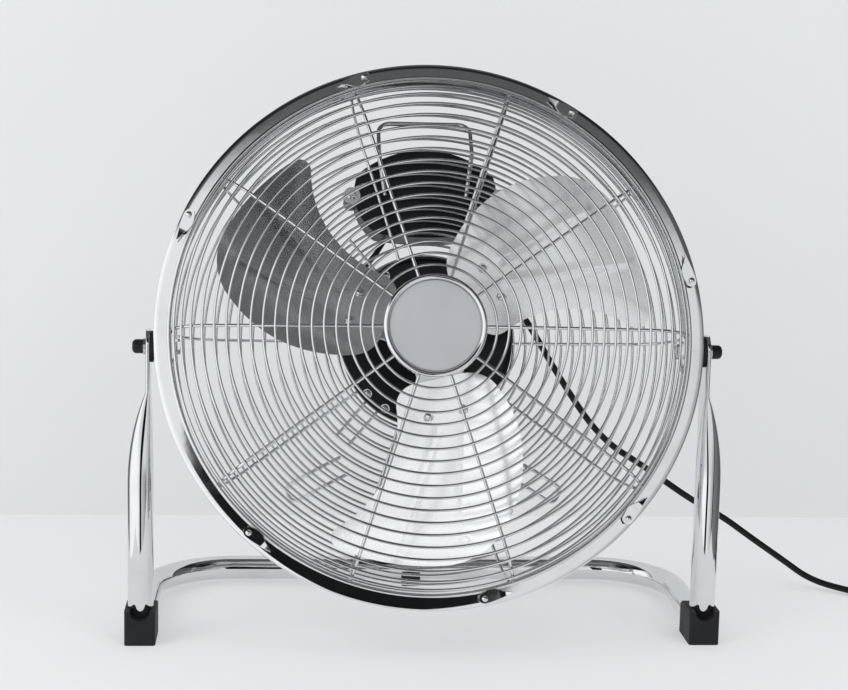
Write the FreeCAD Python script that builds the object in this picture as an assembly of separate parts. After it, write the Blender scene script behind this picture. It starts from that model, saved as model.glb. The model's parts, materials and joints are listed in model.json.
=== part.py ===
"""Chrome floor fan: a caged three-blade head that tilts between the flattened ends of a bent tube stand."""
import FreeCAD, Part
import math
import os

V = FreeCAD.Vector
ORIGIN = V(0, 0, 0)
X_AXIS = V(1, 0, 0)
Y_AXIS = V(0, 1, 0)
Z_AXIS = V(0, 0, 1)

# Pose of the head: the fan axis is the Y axis of the head, its front faces -Y, and it tips up about the pivots.
TILT = 17.0
PIVOT_HEIGHT = 292.0
RIM_ABOVE_PIVOT = 14.0

# Rim hoop and grilles
RIM_RADIUS = 264.5
RIM_DEPTH = 32.0
RIM_SHEET = 1.8
RIM_FLANGE = 16.5
RIM_ROLL = 5.0
EDGE_INSET = 14.5
EDGE_RADIUS = RIM_RADIUS - EDGE_INSET
EDGE_WIRE = 4.0
RING_WIRE = 2.6
SPOKE_WIRE = 3.2
WELD_GAP = 0.05
SPOKE_COUNT = 10
FRONT_INNER_RADIUS = 47.0
FRONT_DOME_RADIUS = 2100.0
FRONT_SHOULDER_REACH = 40.0
FRONT_SHOULDER_START = EDGE_RADIUS - FRONT_SHOULDER_REACH
FRONT_SHOULDER_RADIUS = 48.0
FRONT_RING_STEPS = 19
REAR_INNER_RADIUS = 88.0
REAR_DOME_RADIUS = 4000.0
REAR_SHOULDER_REACH = 45.0
REAR_SHOULDER_START = EDGE_RADIUS - REAR_SHOULDER_REACH
REAR_SHOULDER_RADIUS = 49.0
REAR_RING_STEPS = 15
BRACE_ANGLES = (50.0, 130.0, 230.0, 310.0)
BRACE_SPACING = 15.0
BRACE_REACH = 128.0
SPOKE_OVERLAP = 16.0

# Round badge in the middle of the front grille, left bare
BADGE_RADIUS = 43.5
BADGE_SHEET = 1.6
TRIM_WIDTH = 5.5
TRIM_HEIGHT = 6.0
TRIM_FLOOR = 1.2
TRIM_LIP = 2.0

# Swivel latches that hold the front grille
LATCH_ANGLES = (11.8, 57.8, 104.8, 154.6, 228.1, 281.1, 316.5)
LATCH_SHEET = 1.5
LATCH_WIDTH = 14.5
LATCH_LENGTH = 24.0
LATCH_TAB = 10.0
LATCH_TAB_TURN = 32.0
LATCH_RIVET_INSET = 7.0
LATCH_GAP = 0.3
RIVET_RADIUS = 2.5
RIVET_HEAD_RADIUS = 4.6
RIVET_HEAD_HEIGHT = 2.2
RIVET_COLLAR_RADIUS = 4.2
RIVET_TAIL_RADIUS = 3.4
RIVET_TAIL_CLEAR = 0.5
RUNNING_GAP = 0.05
SEAT_GAP = 0.1

# Rotor
ROTOR_Y = -6.0
BLADE_COUNT = 3
BLADE_ANGLE = 40.0
BLADE_TIP_GAP = 28.0
BLADE_RADIUS = EDGE_RADIUS - BLADE_TIP_GAP
BLADE_SHEET = 1.2
BLADE_ROOT_PITCH = 32.0
BLADE_ROOT = 44.0
BLADE_RIVET_RADIUS = 78.0
BLADE_RIVET_SPACING = 32.0
BLADE_RIVET_SHANK = 2.4
BLADE_RIVET_HEAD = 5.0
BLADE_RIVET_RISE = 2.6
ARM_WIDTH = 50.0
ARM_REACH = 92.0
ARM_SHEET = 2.5
ARM_GAP = 0.35
BOSS_RADIUS = 16.0
BOSS_LENGTH = 34.0
SHAFT_RADIUS = 6.0
NUT_ACROSS = 19.0
NUT_HEIGHT = 8.0

# Motor on the middle of the rear grille
PLATE_RADIUS = 85.0
PLATE_SHEET = 2.0
PLATE_LIP = 7.0
PLATE_SCREW_RADIUS = 78.0
SCREW_SHANK = 2.0
SCREW_HEAD = 4.5
SCREW_RISE = 2.8
SCREW_NUT = 3.6
MOTOR_RADIUS = 56.0
MOTOR_LENGTH = 78.0
MOTOR_SPLIT = 30.0
MOTOR_WALL = 3.0
BEARING_RADIUS = 11.0
BEARING_WIDTH = 9.0
BEARING_BOSS = 16.0
STATOR_BORE = 30.4
STATOR_LENGTH = 44.0
CORE_RADIUS = 30.0
VENT_COUNT = 12
VENT_WIDTH = 5.0
VENT_INNER = 26.0
VENT_OUTER = 46.0

# Control box behind the rear grille, above the motor
BOX_BOTTOM = 112.0
BOX_TOP = 198.0
BOX_HALF_BOTTOM = 50.0
BOX_HALF_WIDTH = 71.0
BOX_WAIST = 140.0
BOX_SHOULDER = 172.0
BOX_SAG = 4.0
BOX_WALL = 2.0
BOX_DEPTH = 30.0
COVER_DEPTH = 16.0
COVER_ROUND = 5.0
EAR_OUT = 3.5
EAR_ABOUT_Z = 146.0
EAR_RADIUS = 7.5
WASHER_RADIUS = 8.5
WASHER_SHEET = 1.5
SWITCH_WIDTH = 28.0
SWITCH_HEIGHT = 26.0
SWITCH_DEPTH = 24.0
SWITCH_Z = 152.0
KNOB_RADIUS = 17.0
KNOB_HEIGHT = 15.0
KNOB_SPINDLE = 3.0
KNOB_GAP = 0.6
KNOB_GRIP_WIDTH = 8.0

# Carry handle and cord hooks, bent from wire and welded behind the rear grille
HANDLE_WIRE = 5.0
HANDLE_FOOT_X = 41.0
HANDLE_FOOT_Z = 150.0
HANDLE_HALF_WIDTH = 47.0
HANDLE_SHOULDER_BELOW = 4.0
HANDLE_ABOVE_BOX = 32.0
HANDLE_SET_BACK = 22.0
HANDLE_BEND = 13.0
HOOK_WIRE = 4.0
HOOK_ROOT_X = 80.0
HOOK_ROOT_Z = -122.0
HOOK_LENGTH = 62.0
HOOK_FALL = 27.5
HOOK_SPACING = 18.0
HOOK_LIFT = 26.0
HOOK_BEND = 8.9

# Stand
TUBE_DIAMETER = 25.0
TUBE_WALL = 1.5
UPRIGHT_OUT = 13.0
UPRIGHT_X = RIM_RADIUS + UPRIGHT_OUT
REAR_BAR_Y = 207.0
TUBE_HEIGHT = 16.0
FOOT_BEND = 32.0
REAR_BEND = 85.0
FLAT_LENGTH = 42.0
PRESS_LENGTH = 100.0
FLAT_THICKNESS = 4.6
FLAT_WIDTH = 34.0
FLAT_BULGE = 0.1
TRIM_CLEAR = 1.0
FOOT_WIDTH = 30.0
FOOT_FRONT = -15.5
FOOT_BACK = 34.0
FOOT_HEIGHT = 34.0
FOOT_EDGE = 3.0
FOOT_NOTCH = 9.5
FOOT_CHAMFER = 6.0
PAD_LENGTH = 20.0
PAD_WIDTH = 34.0
PAD_HEIGHT = 13.0

# Tilt pivots, from the rim outwards
PIVOT_GAP = 0.3
PIVOT_BOLT = 3.0
FRICTION_RADIUS = 15.0
FRICTION_SHEET = 2.5
PIVOT_WASHER_RADIUS = 8.0
PIVOT_WASHER_SHEET = 2.5
BOLT_HEAD_ACROSS = 10.0
BOLT_HEAD_HEIGHT = 4.0
CAP_RADIUS = 6.8
CAP_LENGTH = 10.5
CAP_WALL_GAP = 0.15
BRACKET_HEIGHT = 27.0
BRACKET_WIDTH = 22.0
BRACKET_DEPTH = 17.0
BRACKET_SHEET = 2.5
PIVOT_NUT_ACROSS = 13.0
PIVOT_NUT_HEIGHT = 6.0

# Mains cord and motor lead
CORD_DIAMETER = 6.8
CORD_BEND_SHARE = 0.45
GLAND_X = 51.0
GLAND_LENGTH = 28.0
GLAND_BASE_RADIUS = 7.5
GLAND_TIP_RADIUS = 4.6
GLAND_TURN = 27.0
GLAND_SINK = 6.0
CORD_POINTS = (
    (77, 98, 343),
    (107, 114, 306),
    (147, 132, 240),
    (195, 150, 173),
    (247, 163, 140),
    (300, 174, 102),
    (337, 181, 82),
    (371, 186, 57),
    (410, 191, 30),
    (440, 186, 9),
    (475, 157, 4.9),
    (512, 131, 4.9),
)
COIL_MIDDLE_RADIUS = 37.5
COIL_STEP = 7.5
COIL_LAYER = 7.4
COIL_TURNS = 2.25
COIL_TAIL = 22.0
TIE_SHEET = 1.2
TIE_WIDTH = 6.0
TIE_GAP = 0.3
TIE_ANGLE = 20.0
PLUG_WIDTH = 33.0
PLUG_LENGTH = 40.0
PLUG_NECK_LENGTH = 24.0
PLUG_NECK_RADIUS = 4.6
PLUG_EDGE = 5.0
PIN_RADIUS = 2.4
PIN_LENGTH = 19.0
PIN_SPACING = 19.0
LEAD_DIAMETER = 5.5
LEAD_BEND = 17.0

nodes = {}


def disc(radius, base, direction, length):
    """A plain cylinder."""
    return Part.makeCylinder(radius, length, base, direction)


def polygon(points):
    """A flat face from corner points."""
    return Part.Face(Part.makePolygon(list(points) + [points[0]]))


def hexagon(across, base, direction, height):
    """A hexagonal prism for nuts and bolt heads, `across` over its flats."""
    corner = across / math.sqrt(3)
    flat = [V(corner * math.cos(k * math.pi / 3), corner * math.sin(k * math.pi / 3), 0) for k in range(6)]
    prism = polygon(flat).extrude(V(0, 0, height))
    prism.Placement = FreeCAD.Placement(base, FreeCAD.Rotation(Z_AXIS, direction))
    return prism


def spun(points):
    """A solid turned about the Y axis from (radius, y) points."""
    face = polygon([V(r, y, 0) for r, y in points])
    return face.revolve(ORIGIN, Y_AXIS, 360)


def at_angle(shape, degrees):
    """The shape turned about the fan axis, counter-clockwise as seen from the front."""
    return shape.rotated(ORIGIN, V(0, -1, 0), degrees)


def mirrored(shape):
    """The left-hand copy of a right-hand piece."""
    return shape.mirror(ORIGIN, X_AXIS)


def rounded_route(points, radii):
    """Straight runs joined by tangent arcs, as one wire. One radius for each inner point."""
    edges = []
    start = points[0]
    for here, ahead, behind, radius in zip(points[1:-1], points[2:], points[:-2], radii):
        back = (behind - here).normalize()
        on = (ahead - here).normalize()
        half = back.getAngle(on) / 2
        reach = radius / math.tan(half)
        middle = (back + on).normalize()
        centre = here + middle * (radius / math.sin(half))
        first = here + back * reach
        last = here + on * reach
        edges.append(Part.LineSegment(start, first).toShape())
        edges.append(Part.Arc(first, centre - middle * radius, last).toShape())
        start = last
    edges.append(Part.LineSegment(start, points[-1]).toShape())
    return Part.Wire(edges)


def swept(route, radius):
    """A round rod along a route of straight runs and arcs."""
    pieces = []
    for edge in route.Edges:
        start = edge.valueAt(edge.FirstParameter)
        along = edge.tangentAt(edge.FirstParameter)
        face = Part.Face(Part.Wire(Part.makeCircle(radius, start, along)))
        if edge.Curve.TypeId == "Part::GeomCircle":
            turn = math.degrees(edge.LastParameter - edge.FirstParameter)
            pieces.append(face.revolve(edge.Curve.Center, edge.Curve.Axis, turn))
        else:
            pieces.append(face.extrude(along * edge.Length))
    return pieces[0].fuse(pieces[1:])


def on_stand(name, shape):
    """Keep a piece that is modelled where it stands."""
    nodes[name] = shape


def head_place():
    """Where the head's own frame lies: lifted off the pivots, tipped up, and raised to the stand's pivots."""
    lift = FreeCAD.Placement(V(0, 0, RIM_ABOVE_PIVOT), FreeCAD.Rotation())
    tip = FreeCAD.Placement(V(0, 0, PIVOT_HEIGHT), FreeCAD.Rotation(X_AXIS, -TILT))
    return tip.multiply(lift)


def on_head(name, shape):
    """Keep a piece that is modelled in the head's own frame."""
    nodes[name] = shape.transformed(head_place().Matrix, copy=True)


class Dome:
    """A grille's side view: a shallow dome that turns over a tight shoulder down to the edge wire.

    Angles are measured from the fan axis, and heights from the edge wire towards the front.
    """

    def __init__(self, inner, dome, start, shoulder):
        self.dome = dome
        self.shoulder = shoulder
        self.inner_angle = math.asin(inner / dome)
        self.turn_angle = math.asin(start / dome)
        self.shoulder_radius = start - shoulder * math.sin(self.turn_angle)
        self.edge_angle = math.asin((EDGE_RADIUS - self.shoulder_radius) / shoulder)
        self.shoulder_height = -shoulder * math.cos(self.edge_angle)
        drop = (dome - shoulder) * math.cos(self.turn_angle)
        self.dome_height = self.shoulder_height - drop
        self.dome_length = dome * (self.turn_angle - self.inner_angle)
        self.length = self.dome_length + shoulder * (self.edge_angle - self.turn_angle)

    def at(self, distance):
        """Radius, height and lean, at a distance along the side view from the inner ring."""
        if distance < self.dome_length:
            angle = self.inner_angle + distance / self.dome
            return self.dome * math.sin(angle), self.dome_height + self.dome * math.cos(angle), angle
        angle = self.turn_angle + (distance - self.dome_length) / self.shoulder
        radius = self.shoulder_radius + self.shoulder * math.sin(angle)
        return radius, self.shoulder_height + self.shoulder * math.cos(angle), angle

    def height(self, radius):
        """Height of the ring wires' centres on the dome, at a radius short of the shoulder."""
        return self.dome_height + math.sqrt(self.dome ** 2 - radius ** 2)


EDGE_Y = RIM_DEPTH / 2 + EDGE_WIRE / 2
SPOKE_DROP = RING_WIRE / 2 + SPOKE_WIRE / 2 + WELD_GAP
front_dome = Dome(FRONT_INNER_RADIUS, FRONT_DOME_RADIUS, FRONT_SHOULDER_START, FRONT_SHOULDER_RADIUS)
rear_dome = Dome(REAR_INNER_RADIUS, REAR_DOME_RADIUS, REAR_SHOULDER_START, REAR_SHOULDER_RADIUS)


def wire_section(diameter, centre, across, along):
    """A six-sided wire section, flat towards `across`, square to `along`."""
    corner = diameter / math.sqrt(3)
    side = along.cross(across)
    points = []
    for k in range(6):
        angle = (k + 0.5) * math.pi / 3
        points.append(centre + across * (corner * math.cos(angle)) + side * (corner * math.sin(angle)))
    return polygon(points)


def arc_wire(centre_radius, centre_height, bend, first, last, side):
    """One stretch of a spoke in the plane of the fan axis and +X, `side` off that plane."""
    centre = V(centre_radius, -EDGE_Y - centre_height, side)
    normal = V(math.sin(first), -math.cos(first), 0)
    along = V(math.cos(first), math.sin(first), 0)
    face = wire_section(SPOKE_WIRE, centre + normal * bend, normal, along)
    return face.revolve(centre, Z_AXIS, math.degrees(last - first))


def ring_wire(radius, height, angle, diameter):
    """One closed ring of a grille; its flats lie along the side view, which leans by `angle` there."""
    centre = V(radius, -EDGE_Y - height, 0)
    normal = V(math.sin(angle), -math.cos(angle), 0)
    return wire_section(diameter, centre, normal, Z_AXIS).revolve(ORIGIN, Y_AXIS, 360)


def spokes(dome, inner):
    """The radial wires under the rings, from a radius of `inner` to just short of the edge wire."""
    flat = dome.dome - SPOKE_DROP
    bent = dome.shoulder - SPOKE_DROP
    first = math.asin(inner / dome.dome)
    crown = arc_wire(0, dome.dome_height, flat, first, dome.turn_angle, 0)
    last = dome.edge_angle - EDGE_WIRE / 2 / dome.shoulder
    turn = arc_wire(dome.shoulder_radius, dome.shoulder_height, bent, dome.turn_angle, last, 0)
    spoke = crown.fuse(turn)
    return [at_angle(spoke, k * 360 / SPOKE_COUNT) for k in range(SPOKE_COUNT)]


def braces():
    """Pairs of short parallel wires that carry the motor plate out to the rings of the rear grille."""
    flat = rear_dome.dome - SPOKE_DROP
    first = math.asin((REAR_INNER_RADIUS - SPOKE_OVERLAP) / rear_dome.dome)
    last = math.asin(BRACE_REACH / rear_dome.dome)
    pieces = []
    for angle in BRACE_ANGLES:
        for side in (-BRACE_SPACING / 2, BRACE_SPACING / 2):
            pieces.append(at_angle(arc_wire(0, rear_dome.dome_height, flat, first, last, side), angle))
    return pieces


def grille_rings(dome, steps):
    """Concentric wires, evenly spaced along the side view, ending in the thicker edge wire."""
    rings = []
    for k in range(steps):
        radius, height, angle = dome.at(k * dome.length / steps)
        rings.append(ring_wire(radius, height, angle, RING_WIRE))
    rings.append(ring_wire(EDGE_RADIUS, 0, 0, EDGE_WIRE))
    return rings


def front_grille():
    """The removable front guard: rings laid on spokes."""
    return Part.makeCompound(grille_rings(front_dome, FRONT_RING_STEPS) + spokes(front_dome, FRONT_INNER_RADIUS))


def rear_grille():
    """The fixed rear guard that carries the motor. It is built facing forwards, then turned round."""
    inner = REAR_INNER_RADIUS - SPOKE_OVERLAP
    wires = grille_rings(rear_dome, REAR_RING_STEPS) + spokes(rear_dome, inner) + braces()
    return Part.makeCompound([wire.mirror(ORIGIN, Y_AXIS) for wire in wires])


def rim_band():
    """The rolled hoop: a channel with inward flanges, bored for the pivots and the latch rivets."""
    out = RIM_RADIUS
    half = RIM_DEPTH / 2
    lip = RIM_RADIUS - RIM_FLANGE
    small = RIM_ROLL - RIM_SHEET
    slant = math.sqrt(0.5)

    def corner(radius, side):
        base_r = out - RIM_ROLL
        base_y = side * (half - RIM_ROLL)
        ends = [V(base_r, base_y + side * radius, 0), V(base_r + radius, base_y, 0)]
        middle = V(base_r + radius * slant, base_y + side * radius * slant, 0)
        return ends, middle

    (a, b), ab = corner(RIM_ROLL, -1)
    (d, c), cd = corner(RIM_ROLL, 1)
    (e, f), ef = corner(small, 1)
    (h, g), gh = corner(small, -1)
    inner_front = V(lip, -half, 0)
    inner_rear = V(lip, half, 0)
    rear_step = V(lip, half - RIM_SHEET, 0)
    front_step = V(lip, RIM_SHEET - half, 0)
    edges = [
        Part.LineSegment(inner_front, a).toShape(),
        Part.Arc(a, ab, b).toShape(),
        Part.LineSegment(b, c).toShape(),
        Part.Arc(c, cd, d).toShape(),
        Part.LineSegment(d, inner_rear).toShape(),
        Part.LineSegment(inner_rear, rear_step).toShape(),
        Part.LineSegment(rear_step, e).toShape(),
        Part.Arc(e, ef, f).toShape(),
        Part.LineSegment(f, g).toShape(),
        Part.Arc(g, gh, h).toShape(),
        Part.LineSegment(h, front_step).toShape(),
        Part.LineSegment(front_step, inner_front).toShape(),
    ]
    band = Part.Face(Part.Wire(edges)).revolve(ORIGIN, Y_AXIS, 360)
    bolt_hole = disc(PIVOT_BOLT + SEAT_GAP, V(-out - 1, 0, -RIM_ABOVE_PIVOT), X_AXIS, 2 * out + 2)
    rivet_hole = disc(RIVET_RADIUS + SEAT_GAP, V(LATCH_RADIUS, -half - 1, 0), Y_AXIS, half)
    return band.cut([bolt_hole] + [at_angle(rivet_hole, angle) for angle in LATCH_ANGLES])


LATCH_RADIUS = RIM_RADIUS - LATCH_RIVET_INSET
LATCH_BACK_Y = -RIM_DEPTH / 2 - EDGE_WIRE - LATCH_GAP


def latch():
    """A sheet steel swivel latch at the 3 o'clock place: it reaches over the edge wire, and its tab turns out."""
    inward = LATCH_WIDTH - LATCH_RIVET_INSET + RIM_SHEET
    outward = LATCH_RIVET_INSET - RIM_SHEET
    tail = RIVET_HEAD_RADIUS + RIM_SHEET
    back = LATCH_BACK_Y
    plate = Part.makeBox(
        inward + outward, LATCH_SHEET, LATCH_LENGTH + tail,
        V(LATCH_RADIUS - inward, back - LATCH_SHEET, -tail),
    )
    upright = [edge for edge in plate.Edges if abs(edge.tangentAt(edge.FirstParameter).y) > 0.9]
    plate = plate.makeFillet(outward * 0.8, upright)
    tab = Part.makeBox(
        LATCH_WIDTH * 0.6, LATCH_SHEET, LATCH_TAB,
        V(LATCH_RADIUS - LATCH_WIDTH * 0.1, back - LATCH_SHEET, LATCH_LENGTH - outward),
    )
    tab = tab.rotated(V(0, back, LATCH_LENGTH - outward), X_AXIS, LATCH_TAB_TURN)
    tab = tab.rotated(V(LATCH_RADIUS, 0, LATCH_LENGTH - outward), Y_AXIS, LATCH_TAB_TURN / 2)
    hole = disc(RIVET_RADIUS + RUNNING_GAP, V(LATCH_RADIUS, back - 2 * LATCH_SHEET, 0), Y_AXIS, 3 * LATCH_SHEET)
    return plate.fuse(tab).cut(hole).removeSplitter()


def latch_rivet():
    """A shouldered rivet: head in front of the latch, collar up from the rim flange, tail spread behind it."""
    flange_front = -RIM_DEPTH / 2
    tail_front = flange_front + RIM_SHEET + RIVET_TAIL_CLEAR
    collar_front = LATCH_BACK_Y + RUNNING_GAP
    head_back = LATCH_BACK_Y - LATCH_SHEET - RUNNING_GAP
    profile = [
        (0, head_back - RIVET_HEAD_HEIGHT),
        (RIVET_HEAD_RADIUS * 0.6, head_back - RIVET_HEAD_HEIGHT),
        (RIVET_HEAD_RADIUS, head_back - RIVET_HEAD_HEIGHT / 3),
        (RIVET_HEAD_RADIUS, head_back),
        (RIVET_RADIUS, head_back),
        (RIVET_RADIUS, collar_front),
        (RIVET_COLLAR_RADIUS, collar_front),
        (RIVET_COLLAR_RADIUS, flange_front),
        (RIVET_RADIUS, flange_front),
        (RIVET_RADIUS, tail_front),
        (RIVET_TAIL_RADIUS, tail_front),
        (RIVET_TAIL_RADIUS * 0.7, tail_front + RIVET_HEAD_HEIGHT / 2),
        (0, tail_front + RIVET_HEAD_HEIGHT / 2),
    ]
    return spun(profile).translated(V(LATCH_RADIUS, 0, 0))


def badge():
    """The trim ring clipped to the innermost ring, and the bare disc seated in it."""
    seat = -EDGE_Y - front_dome.height(FRONT_INNER_RADIUS) - RING_WIRE / 2
    outer = BADGE_RADIUS + TRIM_WIDTH
    face = seat - TRIM_HEIGHT
    ledge = seat - TRIM_FLOOR
    lip = BADGE_RADIUS - TRIM_LIP
    trim = [
        (lip, seat),
        (outer, seat),
        (outer, face + TRIM_WIDTH * 0.5),
        (outer - TRIM_WIDTH * 0.2, face + TRIM_WIDTH * 0.15),
        (outer - TRIM_WIDTH * 0.5, face),
        (outer - TRIM_WIDTH * 0.85, face + TRIM_WIDTH * 0.15),
        (BADGE_RADIUS, face + TRIM_WIDTH * 0.4),
        (BADGE_RADIUS, ledge),
        (lip, ledge),
    ]
    front = ledge - BADGE_SHEET
    plate = [
        (0, front),
        (BADGE_RADIUS - SEAT_GAP - BADGE_SHEET / 2, front),
        (BADGE_RADIUS - SEAT_GAP, front + BADGE_SHEET / 2),
        (BADGE_RADIUS - SEAT_GAP, ledge),
        (0, ledge),
    ]
    return spun(trim), spun(plate)


def blade_section(u, middle, half, pitch, camber):
    """A curved sheet strip across the blade at radius u; v runs counter-clockwise and w to the front."""
    rise = half * math.tan(math.radians(pitch))

    def line(lift):
        ends = (V(u, middle - half, lift - rise), V(u, middle + half, lift + rise))
        if camber == 0:
            return Part.LineSegment(ends[0], ends[1]).toShape()
        return Part.Arc(ends[0], V(u, middle, lift - camber), ends[1]).toShape()

    back = line(0)
    front = line(BLADE_SHEET)
    sides = [
        Part.LineSegment(back.Vertexes[k].Point, front.Vertexes[k].Point).toShape()
        for k in (0, 1)
    ]
    return Part.Wire([back, sides[1], front, sides[0]])


def blade_outline():
    """The blade's outline seen along the fan axis: a rounded root, a swept leading corner and a round heel."""
    def polar(radius, degrees):
        return V(radius * math.cos(math.radians(degrees)), radius * math.sin(math.radians(degrees)), 0)

    tip = BLADE_RADIUS
    root_lead = V(BLADE_ROOT, -0.09 * tip, 0)
    lead_turn = V(0.216 * tip, -0.16 * tip, 0)
    lead_start = V(0.288 * tip, -0.194 * tip, 0)
    lead_mid = V(0.545 * tip, -0.275 * tip, 0)
    lead_low = polar(0.92 * tip, -35.5)
    corner_mid = polar(0.973 * tip, -35.7)
    corner_end = polar(tip, -33.0)
    edge_mid = polar(tip, -18.0)
    edge_end = polar(tip, -6.0)
    heel_mid = polar(0.96 * tip, 4.0)
    heel_end = polar(0.86 * tip, 12.5)
    trail_mid = V(0.55 * tip, 0.2815 * tip, 0)
    heel_start = V(0.297 * tip, 0.23 * tip, 0)
    heel_turn = V(0.232 * tip, 0.185 * tip, 0)
    root_heel = V(BLADE_ROOT, 0.09 * tip, 0)
    edges = [
        Part.LineSegment(root_heel, root_lead).toShape(),
        Part.Arc(root_lead, lead_turn, lead_start).toShape(),
        Part.Arc(lead_start, lead_mid, lead_low).toShape(),
        Part.Arc(lead_low, corner_mid, corner_end).toShape(),
        Part.Arc(corner_end, edge_mid, edge_end).toShape(),
        Part.Arc(edge_end, heel_mid, heel_end).toShape(),
        Part.Arc(heel_end, trail_mid, heel_start).toShape(),
        Part.Arc(heel_start, heel_turn, root_heel).toShape(),
    ]
    return Part.Face(Part.Wire(edges))


BLADE_ROOT_SHARE = 0.0045
BLADE_ROOT_MIDDLE = BLADE_ROOT_SHARE * BLADE_RADIUS
BLADE_SPREAD = BLADE_RADIUS / 3
# Radius, sideways middle, half chord, pitch and camber of each strip from root to tip; lengths are shares of the radius.
BLADE_SECTIONS = (
    (0.15, BLADE_ROOT_SHARE, 0.26, BLADE_ROOT_PITCH, 0.0),
    (0.27, BLADE_ROOT_SHARE, 0.27, BLADE_ROOT_PITCH, 0.0),
    (0.40, BLADE_ROOT_SHARE, 0.30, BLADE_ROOT_PITCH, 0.0),
    (0.62, -0.0495, 0.385, 27.0, 0.0257),
    (0.83, -0.1396, 0.50, 22.5, 0.0402),
    (1.03, -0.1802, 0.55, 20.0, 0.0449),
)


def blade_rivet(u, v):
    """A dome-headed rivet square to the pitched root of the blade."""
    pitch = math.radians(BLADE_ROOT_PITCH)
    foot = V(u, v, (v - BLADE_ROOT_MIDDLE) * math.tan(pitch))
    normal = V(0, -math.sin(pitch), math.cos(pitch))
    grip = ARM_GAP + ARM_SHEET
    front = foot + normal * (BLADE_SHEET * math.cos(pitch))
    back = foot - normal * grip
    shank = disc(BLADE_RIVET_SHANK, back, normal, grip + BLADE_SHEET)
    head = Part.makeCone(BLADE_RIVET_HEAD, BLADE_RIVET_HEAD / 2, BLADE_RIVET_RISE, front, normal)
    tail = disc(BLADE_RIVET_HEAD * 0.85, back - normal * BLADE_RIVET_RISE / 2, normal, BLADE_RIVET_RISE / 2)
    return shank.fuse([head, tail]).removeSplitter()


def blade_parts():
    """One blade, its spider arm and its rivets, in blade axes: u outwards, v sideways, w to the front."""
    strips = [
        blade_section(u * BLADE_RADIUS, middle * BLADE_RADIUS, half * BLADE_RADIUS, pitch, camber * BLADE_RADIUS)
        for u, middle, half, pitch, camber in BLADE_SECTIONS
    ]
    sheet = Part.makeLoft(strips, True, False)
    outline = blade_outline().translated(V(0, 0, -BLADE_SPREAD)).extrude(V(0, 0, 2 * BLADE_SPREAD))
    rivets = [
        blade_rivet(BLADE_RIVET_RADIUS, BLADE_ROOT_MIDDLE + side * BLADE_RIVET_SPACING / 2)
        for side in (-1, 1)
    ]
    blade = sheet.common(outline).cut(rivets)
    arm = Part.makeBox(ARM_REACH, ARM_WIDTH, ARM_SHEET, V(0, -ARM_WIDTH / 2, -ARM_SHEET - ARM_GAP))
    tips = [edge for edge in arm.Edges if edge.BoundBox.XMin > ARM_REACH / 2 and edge.BoundBox.YLength < 1
            and edge.BoundBox.ZLength > 1]
    arm = arm.makeFillet(ARM_WIDTH / 4, tips)
    arm = arm.rotated(ORIGIN, X_AXIS, BLADE_ROOT_PITCH).translated(V(0, BLADE_ROOT_MIDDLE, 0))
    return blade, arm.cut(rivets), Part.makeCompound(rivets)


def as_blade(shape, k):
    """Blade axes set into the head: u to +X, v to +Z and w to the front, then turned to the blade's place."""
    stood = shape.rotated(ORIGIN, X_AXIS, 90).translated(V(0, ROTOR_Y, 0))
    return at_angle(stood, BLADE_ANGLE + k * 360 / BLADE_COUNT)


PLATE_BACK_Y = EDGE_Y + rear_dome.height(REAR_INNER_RADIUS) - SPOKE_DROP - SPOKE_WIRE / 2
MOTOR_BACK_Y = PLATE_BACK_Y + MOTOR_LENGTH
SHAFT_FRONT_Y = ROTOR_Y - BOSS_LENGTH / 2 - NUT_HEIGHT
CORE_FRONT_Y = PLATE_BACK_Y + MOTOR_WALL + BEARING_WIDTH + MOTOR_WALL


def hub(arms):
    """The pressed spider: three pitched arms on a turned boss, bored to fit the shaft."""
    boss = disc(BOSS_RADIUS, V(0, ROTOR_Y - BOSS_LENGTH / 2, 0), Y_AXIS, BOSS_LENGTH)
    bore = disc(SHAFT_RADIUS, V(0, ROTOR_Y - BOSS_LENGTH, 0), Y_AXIS, 2 * BOSS_LENGTH)
    return boss.fuse(arms).cut(bore).removeSplitter()


def mount_plate():
    """A dished black disc: motor on its back, grille braces screwed round it, lip turned to the front."""
    front = PLATE_BACK_Y - PLATE_SHEET
    wall = PLATE_RADIUS - PLATE_SHEET
    dish = spun([
        (BEARING_BOSS, front),
        (wall, front),
        (wall, front - PLATE_LIP),
        (PLATE_RADIUS, front - PLATE_LIP),
        (PLATE_RADIUS, PLATE_BACK_Y),
        (BEARING_BOSS, PLATE_BACK_Y),
    ])
    hole = disc(SCREW_SHANK + SEAT_GAP, V(PLATE_SCREW_RADIUS, front - PLATE_LIP, 0), Y_AXIS, 2 * PLATE_LIP)
    return dish.cut([at_angle(hole, angle) for angle in plate_screw_angles()])


def plate_screw_angles():
    """One screw beside each brace wire."""
    offset = BRACE_SPACING / 2 + SPOKE_WIRE / math.sqrt(3) + SCREW_SHANK + SEAT_GAP
    swing = math.degrees(math.asin(offset / PLATE_SCREW_RADIUS))
    return [angle + side * swing for angle in BRACE_ANGLES for side in (-1, 1)]


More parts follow.
